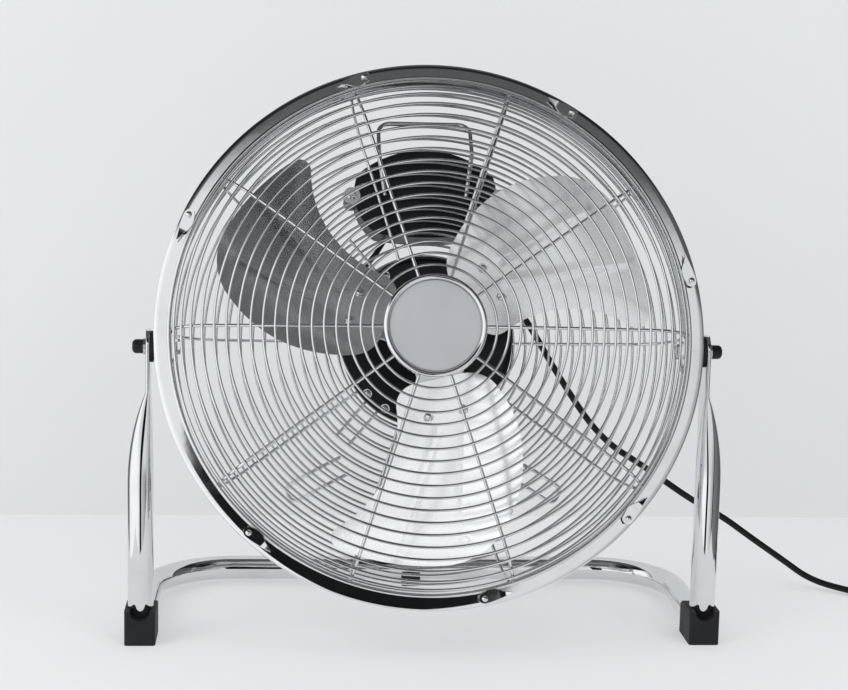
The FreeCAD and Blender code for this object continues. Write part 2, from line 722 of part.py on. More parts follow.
def plate_screws():
    """Pan head screws through the plate, with square clamp nuts behind the brace wires."""
    front = PLATE_BACK_Y - PLATE_SHEET
    crown = rear_dome.height(REAR_INNER_RADIUS - SPOKE_OVERLAP) - rear_dome.height(REAR_INNER_RADIUS)
    clamp = PLATE_BACK_Y + crown + SPOKE_WIRE + SEAT_GAP
    head = spun([
        (0, front - SCREW_RISE),
        (SCREW_HEAD * 0.6, front - SCREW_RISE),
        (SCREW_HEAD, front - SCREW_RISE / 3),
        (SCREW_HEAD, front),
        (SCREW_SHANK, front),
        (SCREW_SHANK, clamp),
        (SCREW_NUT, clamp),
        (SCREW_NUT, clamp + SCREW_RISE),
        (0, clamp + SCREW_RISE),
    ]).translated(V(PLATE_SCREW_RADIUS, 0, 0))
    return Part.makeCompound([at_angle(head, angle) for angle in plate_screw_angles()])


def motor_covers():
    """Two die-cast cups that meet round the stator, each with a bearing seat; the rear one is vented."""
    front = PLATE_BACK_Y
    split = front + MOTOR_SPLIT
    inner = MOTOR_RADIUS - MOTOR_WALL
    seat = MOTOR_WALL + BEARING_WIDTH

    def cup(base, towards, rim):
        return spun([
            (SHAFT_RADIUS + MOTOR_WALL / 2, base),
            (MOTOR_RADIUS - MOTOR_WALL, base),
            (MOTOR_RADIUS, base + towards * MOTOR_WALL),
            (MOTOR_RADIUS, rim),
            (inner, rim),
            (inner, base + towards * MOTOR_WALL),
            (BEARING_BOSS - SEAT_GAP, base + towards * MOTOR_WALL),
            (BEARING_BOSS - SEAT_GAP, base + towards * seat),
            (BEARING_RADIUS, base + towards * seat),
            (BEARING_RADIUS, base + towards * MOTOR_WALL),
            (SHAFT_RADIUS + MOTOR_WALL / 2, base + towards * MOTOR_WALL),
        ])

    rear = cup(MOTOR_BACK_Y, -1, split)
    vent = Part.makeBox(
        VENT_OUTER - VENT_INNER, 4 * MOTOR_WALL, VENT_WIDTH,
        V(VENT_INNER, MOTOR_BACK_Y - 2 * MOTOR_WALL, -VENT_WIDTH / 2),
    )
    rear = rear.cut([at_angle(vent, k * 360 / VENT_COUNT) for k in range(VENT_COUNT)])
    return cup(front, 1, split), rear


def ring(outer, inner, base, length):
    """A plain ring on the fan axis."""
    return disc(outer, V(0, base, 0), Y_AXIS, length).cut(disc(inner, V(0, base, 0), Y_AXIS, length))


HANDLE_SHOULDER_Z = BOX_TOP - HANDLE_SHOULDER_BELOW
HANDLE_TOP = BOX_TOP + HANDLE_ABOVE_BOX
HANDLE_Y = EDGE_Y + rear_dome.height(HANDLE_FOOT_Z) + RING_WIRE / 2 + HANDLE_WIRE / 2
BOX_FRONT_Y = HANDLE_Y + HANDLE_WIRE / 2 + SEAT_GAP
BOX_BACK_Y = BOX_FRONT_Y + BOX_DEPTH
COVER_BACK_Y = BOX_BACK_Y + COVER_DEPTH
# The box's ears are screwed on midway between the two rings that lie nearest to the wished height
EAR_X = BOX_HALF_WIDTH + EAR_OUT
REAR_RING_SPACING = rear_dome.length / REAR_RING_STEPS
EAR_RING = round((math.hypot(EAR_X, EAR_ABOUT_Z) - REAR_INNER_RADIUS) / REAR_RING_SPACING - 0.5)
EAR_REACH = rear_dome.at((EAR_RING + 0.5) * REAR_RING_SPACING)[0]
EAR_Z = math.sqrt(EAR_REACH ** 2 - EAR_X ** 2)
EAR_FRONT_Y = EDGE_Y + rear_dome.height(EAR_REACH - EAR_RADIUS) + RING_WIRE / 2 + SEAT_GAP


def box_face(inset, y):
    """The control box's outline: narrow at the bottom, full at the sides, arched over the top."""
    def point(x, z):
        return V(x, y, z)

    right_low = point(BOX_HALF_BOTTOM, BOX_BOTTOM)
    left_low = point(-BOX_HALF_BOTTOM, BOX_BOTTOM)
    reach = BOX_HALF_WIDTH * 0.965
    right_high = point(reach, BOX_SHOULDER)
    left_high = point(-reach, BOX_SHOULDER)
    edges = [
        Part.Arc(left_low, point(0, BOX_BOTTOM - BOX_SAG), right_low).toShape(),
        Part.Arc(right_low, point(BOX_HALF_WIDTH, BOX_WAIST + BOX_SAG), right_high).toShape(),
        Part.Arc(right_high, point(0, BOX_TOP), left_high).toShape(),
        Part.Arc(left_high, point(-BOX_HALF_WIDTH, BOX_WAIST + BOX_SAG), left_low).toShape(),
    ]
    wire = Part.Wire(edges)
    if inset:
        wire = wire.makeOffset2D(-inset)
    return Part.Face(wire)


def control_box():
    """The box's front half: a moulded tray with ears that reach forward to the grille wires."""
    tray = box_face(0, BOX_FRONT_Y).extrude(V(0, BOX_DEPTH, 0))
    hollow = box_face(BOX_WALL, BOX_FRONT_Y + BOX_WALL).extrude(V(0, BOX_DEPTH, 0))
    ears = []
    holes = []
    for side in (-1, 1):
        base = V(side * EAR_X, EAR_FRONT_Y, EAR_Z)
        ears.append(disc(EAR_RADIUS, base, Y_AXIS, BOX_BACK_Y - EAR_FRONT_Y))
        holes.append(disc(SCREW_SHANK + SEAT_GAP, base - Y_AXIS, Y_AXIS, BOX_DEPTH))
    gland_hole = disc(GLAND_TIP_RADIUS + SEAT_GAP, gland_base() - gland_way() * 2 * GLAND_SINK, gland_way(), 4 * GLAND_SINK)
    return tray.fuse(ears).cut([hollow] + holes + [gland_hole]).removeSplitter()


def control_cover():
    """The box's back half, rounded over, with a hole for the switch spindle."""
    shell = box_face(0, BOX_BACK_Y).extrude(V(0, COVER_DEPTH, 0))
    rim = [edge for edge in shell.Edges if edge.BoundBox.YMin > COVER_BACK_Y - 0.01]
    shell = shell.makeFillet(COVER_ROUND, rim)
    hollow = box_face(COVER_ROUND, BOX_BACK_Y - BOX_WALL).extrude(V(0, COVER_DEPTH, 0))
    spindle = disc(KNOB_SPINDLE + RUNNING_GAP, V(0, BOX_BACK_Y, SWITCH_Z), Y_AXIS, 2 * COVER_DEPTH)
    return shell.cut([hollow, spindle]).removeSplitter()


def rotary_switch():
    """The speed switch, held against the inside of the cover."""
    back = COVER_BACK_Y - BOX_WALL - SEAT_GAP
    body = Part.makeBox(
        SWITCH_WIDTH, SWITCH_DEPTH, SWITCH_HEIGHT,
        V(-SWITCH_WIDTH / 2, back - SWITCH_DEPTH, SWITCH_Z - SWITCH_HEIGHT / 2),
    )
    return body.cut(disc(KNOB_SPINDLE + RUNNING_GAP, V(0, back - SWITCH_DEPTH / 2, SWITCH_Z), Y_AXIS, SWITCH_DEPTH))


def speed_knob():
    """A round switch knob with a raised grip bar and its spindle."""
    base = COVER_BACK_Y + KNOB_GAP
    skirt = KNOB_HEIGHT / 3
    body = Part.makeCone(KNOB_RADIUS, KNOB_RADIUS * 0.94, skirt, V(0, base, SWITCH_Z), Y_AXIS)
    grip = Part.makeBox(
        KNOB_GRIP_WIDTH, KNOB_HEIGHT - skirt, 1.8 * KNOB_RADIUS,
        V(-KNOB_GRIP_WIDTH / 2, base + skirt, SWITCH_Z - 0.9 * KNOB_RADIUS),
    )
    grip = grip.makeFillet(KNOB_GRIP_WIDTH / 4, [e for e in grip.Edges if e.BoundBox.YMin > base + skirt + 0.01])
    spindle_start = COVER_BACK_Y - BOX_WALL - SWITCH_DEPTH / 3
    spindle = disc(KNOB_SPINDLE, V(0, spindle_start, SWITCH_Z), Y_AXIS, base - spindle_start)
    return body.fuse([grip, spindle]).removeSplitter()


def box_fixings():
    """Screws and broad washers that clamp the box's ears to two rings of the rear grille."""
    screws = []
    washers = []
    washer_back = EDGE_Y + rear_dome.height(EAR_REACH + WASHER_RADIUS) - RING_WIRE / 2 - SEAT_GAP
    head_back = washer_back - WASHER_SHEET
    for side in (-1, 1):
        axis = V(side * EAR_X, 0, EAR_Z)
        washer = ring(WASHER_RADIUS, SCREW_SHANK + SEAT_GAP, head_back, WASHER_SHEET)
        screw = spun([
            (0, head_back - SCREW_RISE),
            (SCREW_HEAD * 0.6, head_back - SCREW_RISE),
            (SCREW_HEAD, head_back - SCREW_RISE / 3),
            (SCREW_HEAD, head_back),
            (SCREW_SHANK, head_back),
            (SCREW_SHANK, EAR_FRONT_Y + BOX_DEPTH / 2),
            (0, EAR_FRONT_Y + BOX_DEPTH / 2),
        ])
        washers.append(washer.translated(axis))
        screws.append(screw.translated(axis))
    return Part.makeCompound(screws), Part.makeCompound(washers)


def carry_handle():
    """A wire handle: its legs lie on the rear rings, and its grip stands up and back over the shoulder."""
    back = HANDLE_Y + HANDLE_SET_BACK
    right = [
        V(HANDLE_FOOT_X, HANDLE_Y, HANDLE_FOOT_Z),
        V(HANDLE_HALF_WIDTH, HANDLE_Y, HANDLE_SHOULDER_Z),
        V(HANDLE_HALF_WIDTH, back, HANDLE_TOP),
    ]
    left = [V(-p.x, p.y, p.z) for p in reversed(right)]
    return swept(rounded_route(right + left, [HANDLE_BEND] * 4), HANDLE_WIRE / 2)


def cord_hook():
    """The right-hand cord hook: a wire hairpin that slopes out and back from the rear grille."""
    fall = math.radians(-HOOK_FALL)
    out = V(math.cos(fall), 0, math.sin(fall))
    across = V(-math.sin(fall), 0, math.cos(fall)) * (HOOK_SPACING / 2)
    root_radius = math.hypot(HOOK_ROOT_X, HOOK_ROOT_Z)
    nearest = root_radius - HOOK_SPACING / 2 - HOOK_WIRE / 2
    surface = EDGE_Y + rear_dome.height(nearest) + RING_WIRE / 2 + HOOK_WIRE / 2
    root = V(HOOK_ROOT_X, surface, HOOK_ROOT_Z)
    knee = root + out * (HOOK_LENGTH * 0.45)
    tip = root + out * HOOK_LENGTH + Y_AXIS * HOOK_LIFT
    points = [root + across, knee + across, tip + across, tip - across, knee - across, root - across]
    return swept(rounded_route(points, [HOOK_BEND] * 4), HOOK_WIRE / 2)


def gland_way():
    """The direction in which the mains cord leaves the box."""
    turn = math.radians(GLAND_TURN)
    return V(math.sin(turn), 0, -math.cos(turn))


def gland_base():
    """The point on the box's lower right corner where the cord comes out."""
    return V(GLAND_X, BOX_FRONT_Y + BOX_DEPTH / 2, BOX_BOTTOM + BOX_SAG / 2)


def cord_gland():
    """A tapered rubber strain relief, held by its neck in the wall of the box."""
    way = gland_way()
    neck = disc(GLAND_TIP_RADIUS, gland_base() - way * GLAND_SINK, way, GLAND_SINK)
    collar = disc(GLAND_BASE_RADIUS, gland_base() + way * BOX_SAG, way, BOX_SAG)
    taper = Part.makeCone(
        GLAND_BASE_RADIUS * 0.85, GLAND_TIP_RADIUS, GLAND_LENGTH - 2 * BOX_SAG,
        gland_base() + way * 2 * BOX_SAG, way,
    )
    link = disc(GLAND_TIP_RADIUS, gland_base() - way, way, BOX_SAG + 1)
    return neck.fuse([collar, taper, link]).removeSplitter()


def motor_lead():
    """The short lead from the box's lower left corner round to the side of the motor."""
    y = BOX_FRONT_Y + BOX_DEPTH / 2
    entry = math.radians(150)
    wall = V(math.cos(entry), 0, math.sin(entry))
    points = [
        V(-BOX_HALF_BOTTOM * 0.8, y, BOX_BOTTOM - BOX_SAG * 0.8),
        V(-BOX_HALF_BOTTOM, y, BOX_BOTTOM - 4 * LEAD_DIAMETER),
        V(-MOTOR_RADIUS * 1.35, y, MOTOR_RADIUS * 1.15),
        wall * (MOTOR_RADIUS * 1.45) + Y_AXIS * y,
        wall * (MOTOR_RADIUS + SEAT_GAP) + Y_AXIS * y,
    ]
    return swept(rounded_route(points, [LEAD_BEND] * 3), LEAD_DIAMETER / 2)


def tube_section(z, flatness):
    """The stand tube's outline in four arcs, from round (0) to pressed flat (1)."""
    def between(whole, flat):
        return whole + flatness * (flat - whole)

    radius = TUBE_DIAMETER / 2
    slant = radius * math.sqrt(0.5)
    half = FLAT_THICKNESS / 2
    middle = between(UPRIGHT_X, FLAT_INNER_X + half)
    corner_x = between(slant, half - FLAT_BULGE)
    corner_y = between(slant, FLAT_WIDTH / 2 - half)
    side = between(radius, half)
    tip = between(radius, FLAT_WIDTH / 2)
    corners = [V(middle + sx * corner_x, sy * corner_y, z) for sx, sy in ((1, -1), (1, 1), (-1, 1), (-1, -1))]
    middles = [V(middle + side, 0, z), V(middle, tip, z), V(middle - side, 0, z), V(middle, -tip, z)]
    return Part.Wire([
        Part.Arc(corners[k], middles[k], corners[(k + 1) % 4]).toShape()
        for k in range(4)
    ])


# How flat the tube is pressed, at shares of the height from the round tube to the flat end
PRESS_STEPS = ((0.0, 0.0), (0.12, 0.015), (0.4, 0.125), (0.61, 0.30), (0.825, 0.70), (1.0, 1.0))
FLAT_BOTTOM = PIVOT_HEIGHT - FLAT_LENGTH
ROUND_TOP = FLAT_BOTTOM - PRESS_LENGTH
FRICTION_INNER_X = RIM_RADIUS + PIVOT_GAP
FLAT_INNER_X = FRICTION_INNER_X + FRICTION_SHEET
FLAT_OUTER_X = FLAT_INNER_X + FLAT_THICKNESS
BOLT_SEAT_X = FLAT_OUTER_X + PIVOT_WASHER_SHEET


def stand_route():
    """Centre line of the right half of the stand's round tube, from the upright to the middle of the rear bar."""
    points = [
        V(UPRIGHT_X, 0, ROUND_TOP),
        V(UPRIGHT_X, 0, TUBE_HEIGHT),
        V(UPRIGHT_X, REAR_BAR_Y, TUBE_HEIGHT),
        V(0, REAR_BAR_Y, TUBE_HEIGHT),
    ]
    return rounded_route(points, [FOOT_BEND, REAR_BEND])


def upright_end():
    """The right-hand upright above the round tube: pressed flat, rounded at the top and bored for the pivot."""
    pressed = [tube_section(ROUND_TOP + PRESS_LENGTH * height, share) for height, share in PRESS_STEPS]
    press = Part.makeLoft(pressed, True, False)
    top = PIVOT_HEIGHT + FLAT_WIDTH / 2
    blade = Part.Face(tube_section(FLAT_BOTTOM, 1.0)).extrude(V(0, 0, top - FLAT_BOTTOM))
    across = FLAT_THICKNESS + 2 * TRIM_CLEAR
    start = V(FLAT_INNER_X - TRIM_CLEAR, 0, PIVOT_HEIGHT)
    trim = Part.makeBox(across, FLAT_WIDTH, FLAT_LENGTH, start - V(0, FLAT_WIDTH / 2, FLAT_LENGTH))
    end = disc(FLAT_WIDTH / 2, start, X_AXIS, across)
    bore = disc(PIVOT_BOLT + RUNNING_GAP, start, X_AXIS, across)
    return press.fuse(blade.common(trim.fuse(end))).cut(bore)


def stand_tube():
    """One chromed steel tube, bent to the floor loop and pressed flat at both ends."""
    radius = TUBE_DIAMETER / 2
    tube = swept(stand_route(), radius).cut(swept(stand_route(), radius - TUBE_WALL))
    half = tube.fuse(upright_end())
    return half.fuse(mirrored(half)).removeSplitter()


def foot():
    """A moulded rubber foot at the right-hand front bend, notched so that the tube shows in front."""
    block = Part.makeBox(
        FOOT_WIDTH, FOOT_BACK - FOOT_FRONT, FOOT_HEIGHT,
        V(UPRIGHT_X - FOOT_WIDTH / 2, FOOT_FRONT, 0),
    )
    corners = [edge for edge in block.Edges if edge.BoundBox.ZLength > FOOT_HEIGHT / 2]
    block = block.makeFillet(FOOT_EDGE, corners)
    bed = swept(stand_route(), TUBE_DIAMETER / 2 + SEAT_GAP)
    notch = disc(FOOT_NOTCH, V(UPRIGHT_X, FOOT_FRONT - 1, FOOT_HEIGHT), Y_AXIS, TUBE_DIAMETER / 2)
    wedge = polygon([
        V(UPRIGHT_X - FOOT_WIDTH, FOOT_BACK, FOOT_HEIGHT - FOOT_CHAMFER),
        V(UPRIGHT_X - FOOT_WIDTH, FOOT_BACK, FOOT_HEIGHT + 1),
        V(UPRIGHT_X - FOOT_WIDTH, FOOT_BACK - 2 * FOOT_CHAMFER, FOOT_HEIGHT + 1),
    ]).extrude(V(2 * FOOT_WIDTH, 0, 0))
    return block.cut([bed, notch, wedge])


def rear_pad():
    """A rubber saddle under the middle of the rear bar."""
    block = Part.makeBox(
        PAD_LENGTH, PAD_WIDTH, PAD_HEIGHT,
        V(-PAD_LENGTH / 2, REAR_BAR_Y - PAD_WIDTH / 2, 0),
    )
    corners = [edge for edge in block.Edges if edge.BoundBox.ZLength > PAD_HEIGHT / 2]
    bed = disc(TUBE_DIAMETER / 2 + SEAT_GAP, V(-PAD_LENGTH, REAR_BAR_Y, TUBE_HEIGHT), X_AXIS, 2 * PAD_LENGTH)
    return block.makeFillet(FOOT_EDGE, corners).cut(bed)


def washer_on_pivot(radius, inner_x, sheet):
    """A right-hand washer on the pivot bolt, in stand axes."""
    base = V(inner_x, 0, PIVOT_HEIGHT)
    return disc(radius, base, X_AXIS, sheet).cut(disc(PIVOT_BOLT + RUNNING_GAP, base, X_AXIS, sheet))


def pivot_bracket():
    """The right-hand channel bracket welded inside the rim, with its nut, in head axes."""
    z = -RIM_ABOVE_PIVOT
    reach = RIM_RADIUS - RIM_SHEET
    block = Part.makeBox(
        BRACKET_DEPTH + RIM_SHEET, BRACKET_WIDTH, BRACKET_HEIGHT,
        V(reach - BRACKET_DEPTH, -BRACKET_WIDTH / 2, z - BRACKET_HEIGHT / 2),
    )
    pocket = Part.makeBox(
        2 * BRACKET_DEPTH, BRACKET_WIDTH, BRACKET_HEIGHT - 2 * BRACKET_SHEET,
        V(reach - BRACKET_DEPTH + BRACKET_SHEET, -BRACKET_WIDTH / 2, z - BRACKET_HEIGHT / 2 + BRACKET_SHEET),
    )
    inside = disc(reach - SEAT_GAP, V(0, -BRACKET_WIDTH, 0), Y_AXIS, 2 * BRACKET_WIDTH)
    nut_base = V(reach - BRACKET_DEPTH - PIVOT_NUT_HEIGHT, 0, z)
    nut = hexagon(PIVOT_NUT_ACROSS, nut_base, X_AXIS, PIVOT_NUT_HEIGHT)
    bore = disc(PIVOT_BOLT + SEAT_GAP, nut_base - X_AXIS, X_AXIS, 2 * BRACKET_DEPTH)
    return block.common(inside).cut(pocket).fuse(nut).cut(bore).removeSplitter()


def pivot_bolt():
    """The right-hand pivot bolt, from the bracket nut out to its hexagon head, in head axes."""
    z = -RIM_ABOVE_PIVOT
    inner = RIM_RADIUS - RIM_SHEET - BRACKET_DEPTH - PIVOT_NUT_HEIGHT
    shank = disc(PIVOT_BOLT, V(inner, 0, z), X_AXIS, BOLT_SEAT_X - inner)
    head = hexagon(BOLT_HEAD_ACROSS, V(BOLT_SEAT_X, 0, z), X_AXIS, BOLT_HEAD_HEIGHT)
    return shank.fuse(head).removeSplitter()


def bolt_cap():
    """A black dome cap pushed over the right-hand bolt head, in head axes."""
    z = -RIM_ABOVE_PIVOT
    base = V(BOLT_SEAT_X + CAP_WALL_GAP, 0, z)
    straight = CAP_LENGTH - CAP_RADIUS * 0.6
    body = disc(CAP_RADIUS, base, X_AXIS, CAP_LENGTH)
    rim = [edge for edge in body.Edges if edge.BoundBox.XMin > base.x + straight]
    body = body.makeFillet(CAP_RADIUS * 0.6, rim)
    socket_across = BOLT_HEAD_ACROSS + 2 * CAP_WALL_GAP
    socket = hexagon(socket_across, base - X_AXIS, X_AXIS, BOLT_HEAD_HEIGHT + 1)
    return body.cut(socket)


def cord_radii(points):
    """The largest arcs that the cord's runs allow: a fixed share of the shorter run at each corner."""
    radii = []
    for behind, here, ahead in zip(points[:-2], points[1:-1], points[2:]):
        turn = (here - behind).getAngle(ahead - here)
        shorter = min((here - behind).Length, (ahead - here).Length)
        radii.append(CORD_BEND_SHARE * shorter / math.tan(turn / 2))
    return radii


def cord_run():
    """The free stretch of the mains cord: from the strain relief down to the floor and out to the coil."""
    place = head_place()
    exit_point = place.multVec(gland_base() + gland_way() * (GLAND_LENGTH + SEAT_GAP))
    points = [exit_point] + [V(*point) for point in CORD_POINTS]
    route = rounded_route(points, cord_radii(points))
    print("cord exit", [round(value, 2) for value in exit_point], "free length", round(route.Length, 1))
    return swept(route, CORD_DIAMETER / 2)


class Coil:
    """A neat coil of two layers: it spirals in on the floor, climbs in half a turn and spirals out again."""

    def __init__(self):
        last = V(*CORD_POINTS[-1])
        self.way = (last - V(*CORD_POINTS[-2])).normalize()
        self.outer = COIL_MIDDLE_RADIUS + COIL_STEP * COIL_TURNS / 2
        self.start = last + self.way * CORD_DIAMETER
        left = V(-self.way.y, self.way.x, 0)
        self.centre = self.start + left * self.outer
        self.first = math.atan2(-left.y, -left.x)
        self.in_end = 2 * math.pi * COIL_TURNS
        self.end = 2 * self.in_end + math.pi

    def at(self, turn):
        """The cord's centre after an angle of `turn` round the coil."""
        inward = min(turn, self.end - turn)
        radius = self.outer - COIL_STEP * inward / (2 * math.pi)
        climb = min(max((turn - self.in_end) / math.pi, 0.0), 1.0)
        lift = COIL_LAYER * (climb - math.sin(2 * math.pi * climb) / (2 * math.pi))
        angle = self.first + turn
        return self.centre + V(radius * math.cos(angle), radius * math.sin(angle), lift)

    def heading(self, turn):
        """The cord's direction there; the ends are square to the circle, so that the straight ends join smoothly."""
        angle = self.first + turn
        if turn <= 0 or turn >= self.end:
            return V(-math.sin(angle), math.cos(angle), 0)
        step = 0.001
        return (self.at(turn + step) - self.at(turn - step)).normalize()

    def least_gap(self):
        """The smallest clear distance between turns, measured on points."""
        count = 400
        points = [self.at(self.end * k / count) for k in range(count + 1)]
        apart = int(count * 0.75 * 2 * math.pi / self.end)
        gaps = [
            (points[i] - points[j]).Length
            for i in range(count + 1)
            for j in range(i + apart, count + 1)
        ]
        return min(gaps) - CORD_DIAMETER


def tangent_arc(start, heading, end):
    """The arc that leaves `start` along `heading` and reaches `end`."""
    chord = end - start
    along = chord.Length
    side = chord.normalize()
    lean = heading.getAngle(side)
    across = (side * heading.dot(side) - heading)
    bulge = V(0, 0, 0)
    if across.Length > 1e-9:
        bulge = across.normalize() * (-along / 2 * math.tan(lean / 2))
    return Part.Arc(start, (start + end) * 0.5 + bulge, end).toShape()


def biarc(start, heading, end, arrival):
    """Two tangent arcs from one point and direction to another."""
    gap = end - start
    total = heading + arrival
    spread = 2 * (1 - heading.dot(arrival))
    lean = gap.dot(total)
    reach = (math.sqrt(lean ** 2 + spread * gap.dot(gap)) - lean) / spread
    middle = (start + end + (heading - arrival) * reach) * 0.5
    first = tangent_arc(start, heading, middle)
    way = first.tangentAt(first.LastParameter)
    return [first, tangent_arc(middle, way, end)]


def coil_route(coil):
    """The whole coil as one smooth wire: a straight lead-in, biarcs of a quarter turn, and a straight tail."""
    quarters = round(coil.end / (math.pi / 2))
    stops = [coil.end * k / quarters for k in range(quarters + 1)]
    edges = [Part.LineSegment(coil.start - coil.way * CORD_DIAMETER, coil.start).toShape()]
    for here, ahead in zip(stops[:-1], stops[1:]):
        edges += biarc(coil.at(here), coil.heading(here), coil.at(ahead), coil.heading(ahead))
    finish = coil.at(coil.end)
    edges.append(Part.LineSegment(finish, finish + coil.heading(coil.end) * COIL_TAIL).toShape())
    return Part.Wire(edges)


def cord_coil(coil):
    """The put-away length of cord, as one unbroken tube."""
    route = coil_route(coil)
    start = coil.start - coil.way * CORD_DIAMETER
    profile = Part.Wire(Part.makeCircle(CORD_DIAMETER / 2, start, coil.way))
    solid = route.makePipeShell([profile], True, False)
    section = math.pi * (CORD_DIAMETER / 2) ** 2
    print("coil length", round(route.Length, 1), "volume ratio", round(solid.Volume / (section * route.Length), 5))
    print("coil least gap", round(coil.least_gap(), 2))
    return solid


def cord_tie(coil):
    """A flat strap round one side of the coil."""
    angle = math.radians(TIE_ANGLE)
    out = V(math.cos(angle), math.sin(angle), 0)
    reach = CORD_DIAMETER / 2 + TIE_GAP
    half = (coil.outer - COIL_MIDDLE_RADIUS) + COIL_STEP / 2 + reach
    low = coil.start.z - reach
    high = coil.start.z + COIL_LAYER + reach
    middle = V(coil.centre.x, coil.centre.y, 0) + out * COIL_MIDDLE_RADIUS
    turn = FreeCAD.Rotation(Z_AXIS, TIE_ANGLE)

    def loop(grow):
        body = Part.makeBox(
            2 * (half + grow), TIE_WIDTH, high - low + 2 * grow,
            V(-half - grow, -TIE_WIDTH / 2, low - grow),
        )
        long_edges = [edge for edge in body.Edges if edge.BoundBox.YLength > TIE_WIDTH / 2]
        return body.makeFillet(TIE_SHEET + grow, long_edges)

    strap = loop(TIE_SHEET).cut(loop(0))
    strap.Placement = FreeCAD.Placement(middle, turn)
    return strap


def plug(coil):
    """A moulded two-pin plug that lies beside the coil, with a tapered neck, and its pins."""
    way = coil.heading(coil.end)
    rear = coil.at(coil.end) + way * COIL_TAIL
    height = 2 * rear.z
    neck = Part.makeCone(PLUG_NECK_RADIUS, PLUG_NECK_RADIUS * 1.5, PLUG_NECK_LENGTH, rear, way)
    block = Part.makeBox(PLUG_LENGTH, PLUG_WIDTH, height, V(0, -PLUG_WIDTH / 2, -rear.z))
    upright = [edge for edge in block.Edges if edge.BoundBox.ZLength > height / 2]
    block = block.makeFillet(PLUG_EDGE, upright)
    turn = FreeCAD.Rotation(X_AXIS, way)
    face = rear + way * (PLUG_NECK_LENGTH + PLUG_LENGTH)
    block.Placement = FreeCAD.Placement(rear + way * PLUG_NECK_LENGTH, turn)
    side = V(-way.y, way.x, 0)
    pins = []
    for place in (-1, 1):
        base = face + side * (place * PIN_SPACING / 2)
        pin = disc(PIN_RADIUS, base, way, PIN_LENGTH)
        tip = [edge for edge in pin.Edges if (edge.CenterOfMass - base).Length > PIN_LENGTH - 1 and edge.Closed]
        pins.append(pin.makeFillet(PIN_RADIUS * 0.6, tip))
    return neck.fuse(block).removeSplitter(), Part.makeCompound(pins)


def build_stand():
    """The stand with its feet and pivot washers."""
    on_stand("stand_tube", stand_tube())
    on_stand("rear_pad", rear_pad())
    right_foot = foot()
    friction = washer_on_pivot(FRICTION_RADIUS, FRICTION_INNER_X, FRICTION_SHEET)
    washer = washer_on_pivot(PIVOT_WASHER_RADIUS, FLAT_OUTER_X, PIVOT_WASHER_SHEET)
    for name, piece in (
        ("front_foot", right_foot),
        ("friction_washer", friction),
        ("pivot_washer", washer),
    ):
        on_stand(name + "_right", piece)
        on_stand(name + "_left", mirrored(piece))


def build_cage():
    """Rim, grilles, badge, latches and the fixings of the pivots."""
    on_head("rim_band", rim_band())
    on_head("front_grille", front_grille())
    on_head("rear_grille", rear_grille())
    trim, plate = badge()
    on_head("badge_trim", trim)
    on_head("badge_disc", plate)
    for k, angle in enumerate(LATCH_ANGLES):
        on_head("latch_%d" % (k + 1), at_angle(latch(), angle))
    on_head("latch_rivets", Part.makeCompound([at_angle(latch_rivet(), angle) for angle in LATCH_ANGLES]))
    for name, piece in (
        ("pivot_bracket", pivot_bracket()),
        ("pivot_bolt", pivot_bolt()),
        ("bolt_cap", bolt_cap()),
        ("cord_hook", cord_hook()),
    ):
        on_head(name + "_right", piece)
        on_head(name + "_left", mirrored(piece))
    on_head("carry_handle", carry_handle())


def build_motor():
    """The motor, its mounting plate and the rotor with its blades."""
    on_head("motor_plate", mount_plate())
    on_head("plate_screws", plate_screws())
    front_cover, rear_cover = motor_covers()
    on_head("motor_front_cover", front_cover)
    on_head("motor_rear_cover", rear_cover)
    stator_outer = MOTOR_RADIUS - MOTOR_WALL - SEAT_GAP
    on_head("stator", ring(stator_outer, STATOR_BORE, CORE_FRONT_Y, STATOR_LENGTH))
    race = SHAFT_RADIUS + RUNNING_GAP
    front_bearing = PLATE_BACK_Y + MOTOR_WALL
    rear_bearing = MOTOR_BACK_Y - MOTOR_WALL - BEARING_WIDTH
    on_head("front_bearing", ring(BEARING_RADIUS - RUNNING_GAP, race, front_bearing, BEARING_WIDTH))
    on_head("rear_bearing", ring(BEARING_RADIUS - RUNNING_GAP, race, rear_bearing, BEARING_WIDTH))
    shaft_length = MOTOR_BACK_Y - MOTOR_WALL - SHAFT_FRONT_Y
    on_head("motor_shaft", disc(SHAFT_RADIUS, V(0, SHAFT_FRONT_Y, 0), Y_AXIS, shaft_length))
    on_head("rotor_core", ring(CORE_RADIUS, SHAFT_RADIUS, CORE_FRONT_Y, STATOR_LENGTH))
    blade, arm, rivets = blade_parts()
    turns = range(BLADE_COUNT)
    on_head("hub_spider", hub([as_blade(arm, k) for k in turns]))
    for k in turns:
        on_head("blade_%d" % (k + 1), as_blade(blade, k))
    on_head("blade_rivets", Part.makeCompound([as_blade(rivets, k) for k in turns]))
    nut = hexagon(NUT_ACROSS, V(0, SHAFT_FRONT_Y, 0), Y_AXIS, NUT_HEIGHT)
    nut_bore = disc(SHAFT_RADIUS, V(0, SHAFT_FRONT_Y - 1, 0), Y_AXIS, 2 * NUT_HEIGHT)
    on_head("hub_nut", nut.cut(nut_bore))


def build_controls():
    """The control box, its switch and its leads."""
    on_head("control_box", control_box())
    on_head("control_cover", control_cover())
    on_head("rotary_switch", rotary_switch())
    on_head("speed_knob", speed_knob())
    screws, washers = box_fixings()
    on_head("box_screws", screws)
    on_head("box_washers", washers)
    on_head("cord_gland", cord_gland())
    on_head("motor_lead", motor_lead())


def build_cord():
    """The mains cord, its coil, tie and plug."""
    coil = Coil()
    on_stand("cord_run", cord_run())
    on_stand("cord_coil", cord_coil(coil))
    on_stand("cord_tie", cord_tie(coil))
    body, pins = plug(coil)
    on_stand("plug_body", body)
    on_stand("plug_pins", pins)


CORD_NODES = ("cord_run", "cord_coil", "cord_tie", "plug_body", "plug_pins")


